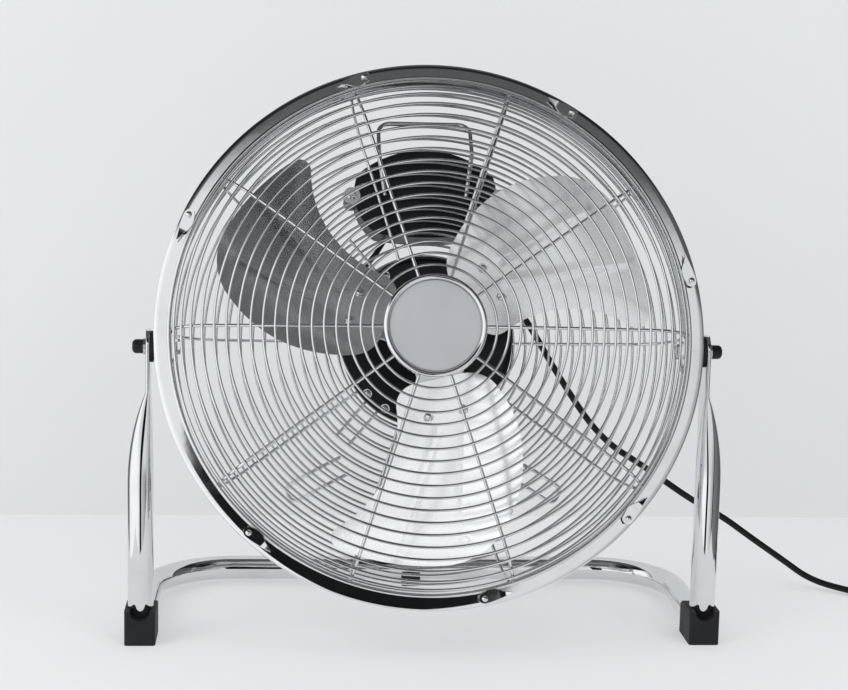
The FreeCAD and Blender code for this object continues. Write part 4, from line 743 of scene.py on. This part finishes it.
def blade_mesh(name):
    """One blade in its own axes: u outwards, v sideways and w to the front."""
    def polar(radius, degrees):
        return radius * math.cos(math.radians(degrees)), radius * math.sin(math.radians(degrees))

    root = blade_root / blade_tip
    root_lead, lead_flare, lead_start = (root, -0.09), (0.216, -0.16), (0.288, -0.194)
    lead_bow, lead_low, lead_round = (0.545, -0.275), polar(0.92, -35.5), polar(0.973, -35.7)
    corner, tip_middle, tip_end = polar(1, -33), polar(1, -18), polar(1, -6)
    root_heel, heel_flare, heel_start = (root, 0.09), (0.232, 0.185), (0.297, 0.23)
    heel_bow, heel_low, heel_round = (0.55, 0.2815), polar(0.86, 12.5), polar(0.96, 4)
    across, along = 57, 81
    lead_edge = np.concatenate([
        arc_through(root_lead, lead_flare, lead_start),
        arc_through(lead_start, lead_bow, lead_low),
        arc_through(lead_low, lead_round, corner),
    ])
    heel_edge = np.concatenate([
        arc_through(root_heel, heel_flare, heel_start),
        arc_through(heel_start, heel_bow, heel_low),
        arc_through(heel_low, heel_round, tip_end),
    ])
    low = evenly(np.array([root_lead, root_heel]), across)[None, :]
    high = evenly(arc_through(corner, tip_middle, tip_end), across)[None, :]
    left = evenly(lead_edge, along)[:, None]
    right = evenly(heel_edge, along)[:, None]
    s = np.linspace(0, 1, along)[:, None, None]
    t = np.linspace(0, 1, across)[None, :, None]
    low_side = (1 - t) * low[:, :1] + t * low[:, -1:]
    high_side = (1 - t) * high[:, :1] + t * high[:, -1:]
    corners = (1 - s) * low_side + s * high_side
    flat = ((1 - t) * left + t * right + (1 - s) * low + s * high - corners).reshape(-1, 2)
    u, v = flat[:, 0], flat[:, 1]
    middle, half, pitch, camber = strip_values(u)
    t = (v - middle) / half
    w = half * np.tan(np.radians(pitch)) * t - camber * (1 - t * t)
    w = w * blade_tip
    for first, last in blade_ribs:
        way = np.subtract(last, first)
        on = ((u - first[0]) * way[0] + (v - first[1]) * way[1]) / way.dot(way)
        off = np.hypot(u - first[0] - on.clip(0, 1) * way[0], v - first[1] - on.clip(0, 1) * way[1])
        w = w + rib_height * np.exp(-(off * blade_tip / rib_half) ** 2)
    back = np.stack([u * blade_tip, v * blade_tip, w], axis=1)
    front = back + (0, 0, blade_sheet)
    count = len(flat)
    grid = np.arange(count).reshape(along, across)
    quads = np.stack([grid[:-1, :-1], grid[:-1, 1:], grid[1:, 1:], grid[1:, :-1]], axis=-1).reshape(-1, 4)
    loop = np.concatenate([grid[0, :-1], grid[:-1, -1], grid[-1, :0:-1], grid[:0:-1, 0]])
    ahead = np.roll(loop, -1)
    wall = np.stack([loop, ahead, ahead + count, loop + count], axis=1)
    faces = np.concatenate([quads[:, ::-1], quads + count, wall])
    mesh = bpy.data.meshes.new(name)
    mesh.from_pydata(np.concatenate([back, front]), [], faces.tolist())
    return mesh


def rolled_aluminium(name):
    """Bright sheet with faint rolling lines and handling marks."""
    sheet = Finish(name)
    lines = sheet.noise(60.0, 2.0, (12, 12, 1))
    smear = sheet.noise(14.0, 4.0).ramp(0.45, 0.75)
    return sheet.surface(
        Base_Color=sheet.colours(smear * 0.5, (0.90, 0.905, 0.91), (0.84, 0.845, 0.855)),
        Metallic=1.0,
        Roughness=0.19 + smear * 0.03 + lines * 0.02,
    )


def around(degrees):
    """A turn about the fan axis, counter-clockwise from the front."""
    return Matrix.Rotation(-math.radians(degrees), 4, "Y")


blade_metal = rolled_aluminium("rolled aluminium")
blade_turns = [around(blade_angle + 360 / blade_count * k) for k in range(blade_count)]
blade_stood = Matrix.Translation((0, rotor_y, 0)) @ Matrix.Rotation(math.pi / 2, 4, "X")
for k, turned in enumerate(blade_turns):
    name = f"fan_blade_{k + 1}"
    mesh = blade_mesh(name)
    mesh.transform(head @ turned @ blade_stood)
    piece(name, tidy(mesh, 45), blade_metal, "rotor", "blade_aluminium", f"blade_{k + 1}")


# The badge: a plain satin aluminium disc, slightly crowned, pressed into a chromed trim ring. The ring is
# seated on the innermost ring of the front grille.

badge_seat = -0.05983
badge_back = badge_seat - 0.0012
badge_front = badge_seat - 0.0029
badge_radius = 0.0434
badge_edge = 0.0014
badge_crown = ((0.0001, 0.0006), (0.020, 0.0005), (0.036, 0.0002))
badge_sides = 128
trim_radius = 0.049
trim_inside = 0.0415
trim_step = 0.0436
trim_middle = 0.0462
trim_bead = 0.0027
trim_bead_rise = 0.0033


def satin_disc(name):
    """Brushed and lacquered aluminium: fine straight lines and a soft sheen."""
    satin = Finish(name)
    lines = satin.noise(220.0, 2.0, (0.04, 6, 6))
    cloud = satin.noise(24.0, 3.0).ramp(0.4, 0.7)
    return satin.surface(
        Base_Color=satin.colours(cloud * 0.5 + lines * 0.3, (0.61, 0.62, 0.64), (0.53, 0.54, 0.56)),
        Metallic=0.45,
        Roughness=0.40 + lines * 0.10,
        Normal=satin.bump(lines, 0.06, 0.0003),
    )


disc_profile = (
    [(badge_crown[0][0], badge_back)]
    + [(radius, badge_front - rise) for radius, rise in badge_crown]
    + arc((badge_radius - badge_edge, badge_front + badge_edge), badge_edge, 270, 360, 6)
    + [(badge_radius, badge_back)]
)
turned_piece("badge_face", disc_profile, satin_disc("satin aluminium"), "badge_disc", badge_sides)

trim_profile = [(trim_inside, badge_seat), (trim_inside, badge_back), (trim_step, badge_back)]
trim_profile += arc((trim_middle, badge_seat - trim_bead_rise), trim_bead, 180, 360, 16)
trim_profile += [(trim_radius, badge_seat)]
turned_piece("badge_ring", trim_profile, rim_chrome, "badge_trim", badge_sides)


# The carry handle and the two cord hooks: each is one length of bright steel wire, bent, and welded by its
# ends on the rings of the rear grille.

def bent_wire_tree():
    """A round wire along the corners of its seed, with every corner bent to one radius."""
    net, size = new_tree("bent_wire", ("Bend", "Wire"))
    curve = net.add("GeometryNodeMeshToCurve", {}, {"Mesh": size["Geometry"]})
    bent = net.add("GeometryNodeFilletCurve", {"mode": "POLY"}, {
        "Curve": curve, "Count": 10, "Radius": size["Bend"], "Limit Radius": True,
    })
    return close_tree(net, round_wire(net, bent, size["Wire"], 16), size["Coat"])


bent_wire = bent_wire_tree()


def wire_piece(name, way, sizes, node):
    """A bent wire of the head, along its corners."""
    chain = bpy.data.meshes.new(name + "_way")
    chain.from_pydata(way, [(k, k + 1) for k in range(len(way) - 1)], [])
    mesh = grown(name, bent_wire, sizes, chain)
    mesh.transform(head)
    piece(name, mesh, grille_chrome, "head", "chrome", node)


handle_y = 0.0612
handle_rise = 0.022
handle_way = [(0.041, handle_y, 0.150), (0.047, handle_y, 0.194), (0.047, handle_y + handle_rise, 0.230)]
handle_way += [(-x, y, z) for x, y, z in reversed(handle_way)]
handle_sizes = {"Bend": 0.013, "Wire": 0.005, "Coat": grille_chrome}
wire_piece("handle_wire", handle_way, handle_sizes, "carry_handle")

hook_fall = math.radians(27.5)
hook_half = 0.009
hook_foot_length = 0.0279
hook_reach = 0.062
hook_rise = 0.026
hook_sizes = {"Bend": 0.0088, "Wire": 0.004, "Coat": grille_chrome}
hook_out = Vector((math.cos(hook_fall), 0, -math.sin(hook_fall)))
hook_across = Vector((math.sin(hook_fall), 0, math.cos(hook_fall))) * hook_half
hook_root = Vector((0.080, 0.06122, -0.122))
hook_knee = hook_root + hook_out * hook_foot_length
hook_tip = hook_root + hook_out * hook_reach + Vector((0, hook_rise, 0))
hook_way = [p + hook_across for p in (hook_root, hook_knee, hook_tip)]
hook_way += [p - hook_across for p in (hook_tip, hook_knee, hook_root)]
for side, name in ((1, "right"), (-1, "left")):
    way = [(side * p.x, p.y, p.z) for p in hook_way]
    wire_piece(f"hook_wire_{name}", way, hook_sizes, f"cord_hook_{name}")


# The seven latches: leaves of chromed spring steel that swivel on a rivet in the rim's front flange. They
# reach in over the edge wire of the front grille, and their pointed ends are turned out for a finger.

latch_angles = (11.8, 57.8, 104.8, 154.6, 228.1, 281.1, 316.5)
latch_radius = 0.2575
latch_back = -0.0203
latch_sheet = 0.0015
latch_length = 0.0270
latch_turn = 0.0150
latch_curl = 18.0
latch_end = 0.0058
latch_inner = 0.0062
latch_outer = 0.0050
latch_belly = 0.0022
latch_taper = 0.0052
latch_steps = 32


def latch_rows():
    """Sections of a leaf at 3 o'clock, from the round end at the rivet to the turned-out point."""
    rows = []
    half = latch_sheet / 2
    for k in range(latch_steps + 1):
        z = -latch_end + (latch_length + latch_end) * k / latch_steps
        if z < 0:
            spread = math.sqrt(max(1 - (z / latch_end) ** 2, 0.004))
            inner, outer = latch_inner * spread, latch_outer * spread
        else:
            share = z / latch_length
            belly = latch_belly * math.sin(math.pi * min(share * 1.5, 1.0))
            inner = latch_inner + belly - latch_taper * share ** 2
            outer = latch_outer - latch_taper * share ** 1.6
        bend = max(z - latch_turn, 0.0)
        y = latch_back - half - latch_curl * bend * bend
        front, back = y - half, y + half
        low, high = latch_radius - inner, latch_radius + outer
        soft = min(latch_sheet * 0.4, (high - low) * 0.3)
        rows.append([
            (low + soft, front, z), (high - soft, front, z), (high, front + soft, z), (high, back - soft, z),
            (high - soft, back, z), (low + soft, back, z), (low, back - soft, z), (low, front + soft, z),
        ])
    return rows


for k, angle in enumerate(latch_angles):
    mesh = skin(f"latch_leaf_{k + 1}", latch_rows(), capped=True)
    mesh.transform(head @ around(angle))
    piece(f"latch_leaf_{k + 1}", tidy(mesh, 30), rim_chrome, f"latch_{k + 1}", "chrome", f"latch_{k + 1}")


# The small round heads: rivets of the latches and the blades, and the screws that hold the motor plate
# on the rear grille's braces. All are bright domes on a thin collar.

def dome_tree():
    """A domed head on every point of the seed, along the point's own way."""
    net, size = new_tree("dome_heads", ("Radius", "Rise"))
    ball = net.add("GeometryNodeMeshUVSphere", {}, {"Segments": 20, "Rings": 10, "Radius": 1.0})
    scale = net.add("ShaderNodeCombineXYZ", {}, {"X": size["Radius"], "Y": size["Radius"], "Z": size["Rise"]})
    dome = net.add("GeometryNodeTransform", {}, {"Geometry": ball, "Scale": scale})
    collar = net.add("GeometryNodeMeshCylinder", {}, {
        "Vertices": 20, "Radius": size["Radius"] * 1.14, "Depth": size["Rise"] * 0.5,
    })
    head_shape = net.add("GeometryNodeJoinGeometry", {}, {0: [dome, collar]})
    way = net.add("GeometryNodeInputNamedAttribute", {"data_type": "FLOAT_VECTOR"}, {"Name": "way"})
    turn = net.add("FunctionNodeAlignRotationToVector", {"axis": "Z"}, {"Vector": way})
    heads = net.add("GeometryNodeInstanceOnPoints", {}, {
        "Points": size["Geometry"], "Instance": head_shape, "Rotation": turn,
    })
    return close_tree(net, heads, size["Coat"])


dome_heads = dome_tree()


def fixings(name, places, radius, rise, body, slot, *stands_for):
    """Domed heads at (place, way) pairs in the head's axes."""
    seed = bpy.data.meshes.new(name + "_places")
    seed.from_pydata([place for place, way in places], [], [])
    ways = seed.attributes.new("way", "FLOAT_VECTOR", "POINT")
    ways.data.foreach_set("vector", [part for place, way in places for part in way])
    mesh = grown(name, dome_heads, {"Radius": radius, "Rise": rise, "Coat": rim_chrome}, seed)
    mesh.transform(head)
    piece(name, tidy(mesh, 50), rim_chrome, body, slot, *stands_for)


front_way, back_way = Vector((0, -1, 0)), Vector((0, 1, 0))
latch_places = []
for angle in latch_angles:
    for y, way in ((latch_back - latch_sheet, front_way), (-rim_half + rim_sheet, back_way)):
        latch_places.append((around(angle) @ Vector((latch_radius, y, 0)), way))
fixings("latch_rivet_heads", latch_places, 0.0031, 0.0024, "head", "steel", "latch_rivets")

screw_angles = (50, 130, 230, 310)
screw_radius = 0.078
screw_swing = 8.44
plate_front = 0.0527
clamp_back = 0.0612
screw_places = []
for angle in screw_angles:
    for side in (-screw_swing, screw_swing):
        for y, way in ((plate_front, front_way), (clamp_back, back_way)):
            screw_places.append((around(angle + side) @ Vector((screw_radius, y, 0)), way))
fixings("plate_screw_heads", screw_places, 0.0040, 0.0028, "head", "steel", "plate_screws")

rivet_pitch = math.radians(32)
rivet_grip = 0.00285
rivet_radius = 0.078
rivet_half_spacing = 0.016
rivet_lift = 0.001
rivet_places = []
for turned in blade_turns:
    normal = Vector((0, -math.cos(rivet_pitch), -math.sin(rivet_pitch)))
    for side in (-rivet_half_spacing, rivet_half_spacing):
        foot = Vector((rivet_radius, rotor_y - side * math.tan(rivet_pitch), rivet_lift + side))
        rivet_places.append((turned @ (foot + normal * blade_sheet), turned @ normal))
        rivet_places.append((turned @ (foot - normal * rivet_grip), turned @ -normal))
fixings("blade_rivet_heads", rivet_places, 0.0044, 0.0028, "rotor", "blade_aluminium", "blade_rivets")


# What keeps its plain solid: the motor's covers in black enamel, the moulded box, knob and caps, the rubber
# feet and washers, the cast hub, the plug, and the steel fixings. Only their finish is made here.

def dress(material, *names):
    """A better finish on pieces that keep their solid."""
    for name in names:
        for place in nodes[name].material_slots:
            place.material = material


def enamel(name, colour):
    """Stoved black enamel: slightly wavy, with a little dust."""
    paint = Finish(name)
    wave = paint.noise(320.0, 3.0)
    dust = paint.noise(70.0, 5.0).ramp(0.5, 0.8)
    pale = tuple(part + 0.015 for part in colour)
    return paint.surface(
        Base_Color=paint.colours(dust * 0.5, colour, pale),
        Roughness=0.30 + dust * 0.15,
        Specular_IOR_Level=0.30,
        Normal=paint.bump(wave, 0.18, 0.0003),
    )


dress(enamel("black enamel", (0.007, 0.007, 0.008)), "motor_plate", "motor_front_cover", "motor_rear_cover")
dress(soft_black("moulded plastic", (0.008, 0.008, 0.009), 1500.0, 0.40), "control_box", "control_cover",
      "speed_knob", "bolt_cap_left", "bolt_cap_right", "rotary_switch")
dress(soft_black("foot rubber", (0.012, 0.012, 0.013), 1900.0, 0.52), "front_foot_left", "front_foot_right",
      "rear_pad", "friction_washer_left", "friction_washer_right")
dress(cord_rubber, "cord_gland", "plug_body", "cord_tie")
dress(rim_chrome, "box_screws", "pivot_bracket_left", "pivot_bracket_right")
dress(plated("zinc plate", (0.58, 0.58, 0.57), 0.24, 0.10), "box_washers", "pivot_washer_left",
      "pivot_washer_right", "pivot_bolt_left", "pivot_bolt_right", "motor_shaft", "hub_nut")
dress(plated("cast aluminium", (0.62, 0.63, 0.64), 0.30, 0.20), "hub_spider")
dress(plated("dark iron", (0.22, 0.22, 0.23), 0.38, 0.20), "stator", "rotor_core", "front_bearing",
      "rear_bearing")
dress(plated("nickel brass", (0.74, 0.66, 0.46), 0.16, 0.05), "plug_pins")


# The studio: a pale table and wall, one broad lamp on the left, and a weaker one on the right. Bright metal
# also shows painted reflections that nothing else sees: dark cards in front, and a painted panorama of light
# and dark walls.

def stage_sheet(name, corners, colour, shown=None, glow=0.0):
    """A big matt sheet. Where `shown` gives 0 it is see-through; `glow` is the share of its own light."""
    mesh = bpy.data.meshes.new(name)
    mesh.from_pydata(corners, [], [(0, 1, 2, 3)])
    sheet = Finish(name)
    dull = tuple(part * 0.985 for part in colour)
    matt = sheet.add("ShaderNodeBsdfDiffuse", {}, {"Color": sheet.colours(sheet.noise(3.0), colour, dull)})
    if glow:
        rays = sheet.add("ShaderNodeLightPath", output="Is Camera Ray")
        seen = rays + rays.out("Is Glossy Ray") + rays.out("Is Transmission Ray")
        own = sheet.add("ShaderNodeEmission", {}, {"Color": (*colour, 1), "Strength": 1.0})
        matt = sheet.add("ShaderNodeMixShader", {}, {0: glow * (seen > 0.5), 1: matt, 2: own})
    if shown:
        clear = sheet.add("ShaderNodeBsdfTransparent")
        matt = sheet.add("ShaderNodeMixShader", {}, {0: shown(sheet), 1: clear, 2: matt})
    sheet.node("ShaderNodeOutputMaterial", {}, {"Surface": matt})
    mesh.materials.append(sheet.material)
    placed(name, mesh)


table_front = -0.41
table_side = 0.60
wall_y = 0.44
wall_top = 0.95
wall_side = 0.50


def mirrored_only(sheet):
    """1 where a sheet is seen in bright metal."""
    return sheet.add("ShaderNodeLightPath", output="Is Glossy Ray")


def table_only(sheet):
    """In a mirror the floor ends at the edge of the table, and the world's painted reflection shows past it.
    """
    across = sheet.add("ShaderNodeSeparateXYZ", {}, {0: sheet.place}, "X")
    inside = (across.out("Y") > table_front) * (table_side > across.of("ABSOLUTE"))
    return 1 - mirrored_only(sheet) * (1 - inside)


def backdrop_only(sheet):
    """The wall shows from the front, and in a mirror it ends at the sides of the backdrop, where the world's
    painted reflection shows.
    """
    across = sheet.add("ShaderNodeSeparateXYZ", {}, {0: sheet.place}, "X")
    outside = across.of("ABSOLUTE") > wall_side
    from_behind = sheet.add("ShaderNodeNewGeometry", output="Backfacing")
    return (1 - from_behind) * (1 - mirrored_only(sheet) * outside)


def upright(first, last, bottom, top):
    """Corners of an upright sheet between two places on the floor."""
    return [(*first, bottom), (*last, bottom), (*last, top), (*first, top)]


card_y = -1.9
painted_reflection_black = (0.012, 0.012, 0.013)
floor_edge = [(-6, -6, 0), (6, -6, 0), (6, 6, 0), (-6, 6, 0)]
wall_edge = upright((-5, wall_y), (5, wall_y), 0, wall_top)
card_edge = [(x, card_y, z) for x, z in ((-0.44, -0.6), (0.06, -0.6), (0.36, 0.97), (-0.34, 0.97))]
side_card_edge = upright((0.573, -0.466), (0.627, -0.420), -0.04, 0.11)
stage_sheet("floor", floor_edge, (0.84, 0.845, 0.86), table_only, 0.5)
stage_sheet("wall", wall_edge, (0.80, 0.81, 0.815), backdrop_only, 0.4)
# Two dark sheets that only mirrors see: painted reflections of dark cards in front of the fan and to its
# right.
stage_sheet("dark_card_front", card_edge, painted_reflection_black, mirrored_only)
stage_sheet("dark_card_right", side_card_edge, painted_reflection_black, mirrored_only)


def lamp(name, place, target, size, power):
    """A soft square lamp."""
    light = bpy.data.lights.new(name, "AREA")
    light.size = size
    light.energy = power
    item = placed(name, light)
    item.location = place
    item.rotation_euler = (Vector(target) - Vector(place)).to_track_quat("-Z", "Y").to_euler()
    # Mirrors don't see the lamps; the world's painted reflection shows a bright window in their place.
    item.visible_glossy = False


lamp("window", (-2.3, -1.5, 1.7), (0, 0, 0.3), 1.6, 26)
lamp("far_lamp", (1.5, -2.0, 2.3), (0, 0.1, 0.2), 1.2, 14)

world = bpy.data.worlds.new("studio")
bpy.context.scene.world = world
world.use_nodes = True
world.node_tree.nodes.clear()
room = Net(world.node_tree)
rays = room.add("ShaderNodeLightPath", output="Is Camera Ray")
toward = room.add("ShaderNodeSeparateXYZ", {}, {0: room.add("ShaderNodeTexCoord", output="Generated")}, "X")
round_about = toward.math("ARCTAN2", toward, 0 - toward.out("Y")) / (2 * math.pi) + 0.5


def grey(level):
    """A slightly cool grey."""
    return (level * 0.985, level, level * 1.015)


# The world that only mirrors see is a painted reflection: light and dark walls round about, a bright window
# on the left, a dark ceiling with a darker band, and a pale far floor. Other rays see plain grey.
painted_reflection_levels = (
    (-180, 0.50), (-150, 0.20), (-120, 0.15), (-110, 0.50), (-98, 1.2), (-28, 1.2), (-8, 1.0), (5, 0.90),
    (14, 0.85), (24, 0.55), (36, 0.50), (44, 0.42), (50, 0.20), (76, 0.20), (90, 0.15), (110, 0.12),
    (130, 0.14), (150, 0.20), (180, 0.50),
)
painted_reflection_stops = [(degrees / 360 + 0.5, grey(level)) for degrees, level in painted_reflection_levels]
painted_reflection_walls = room.add("ShaderNodeValToRGB", {"stops": painted_reflection_stops}, {0: round_about})
high = (toward.out("Z") + 0.15 * toward).ramp(0.485, 0.525)
painted_dark_band = toward.out("Z").ramp(0.58, 0.66) - toward.out("Z").ramp(0.82, 0.90)
painted_reflection_ceiling = room.colours(painted_dark_band, grey(0.11), grey(0.02))
painted_far_floor = toward.out("Z").ramp(-0.262, -0.290)
painted_reflection_room = room.colours(high, room.colours(painted_far_floor, painted_reflection_walls, grey(0.85)), painted_reflection_ceiling)
plain = room.colours(rays + rays.out("Is Transmission Ray"), grey(0.78), grey(0.80))
shown = room.colours(rays.out("Is Glossy Ray"), plain, painted_reflection_room)
background = room.add("ShaderNodeBackground", {}, {"Color": shown, "Strength": 1.0})
room.node("ShaderNodeOutputWorld", {}, {"Surface": background})


# The camera: a long lens a little left of the fan and above it, turned to the photograph's view. Its place
# and its yaw, pitch and roll put the rim, the pivots and the feet where they are seen there.

camera_place = (-0.1431, -1.8565, 0.5829)
camera_degrees = (4.354, -9.042, 1.286)
bpy.context.scene.view_settings.view_transform = "Standard"
camera_data = bpy.data.cameras.new("photo view")
camera_data.lens = 80.38
camera_data.sensor_width = 36
camera_data.sensor_fit = "HORIZONTAL"
camera = placed("photo view", camera_data)
yaw, pitch, roll = (math.radians(degrees) for degrees in camera_degrees)
ahead = Vector((math.sin(yaw) * math.cos(pitch), math.cos(yaw) * math.cos(pitch), math.sin(pitch)))
right = Vector((math.cos(yaw), -math.sin(yaw), 0))
up = right.cross(ahead)
right, up = math.cos(roll) * right + math.sin(roll) * up, math.cos(roll) * up - math.sin(roll) * right
turn = Matrix((right, up, -ahead)).transposed().to_4x4()
camera.matrix_world = Matrix.Translation(camera_place) @ turn
bpy.context.scene.camera = camera
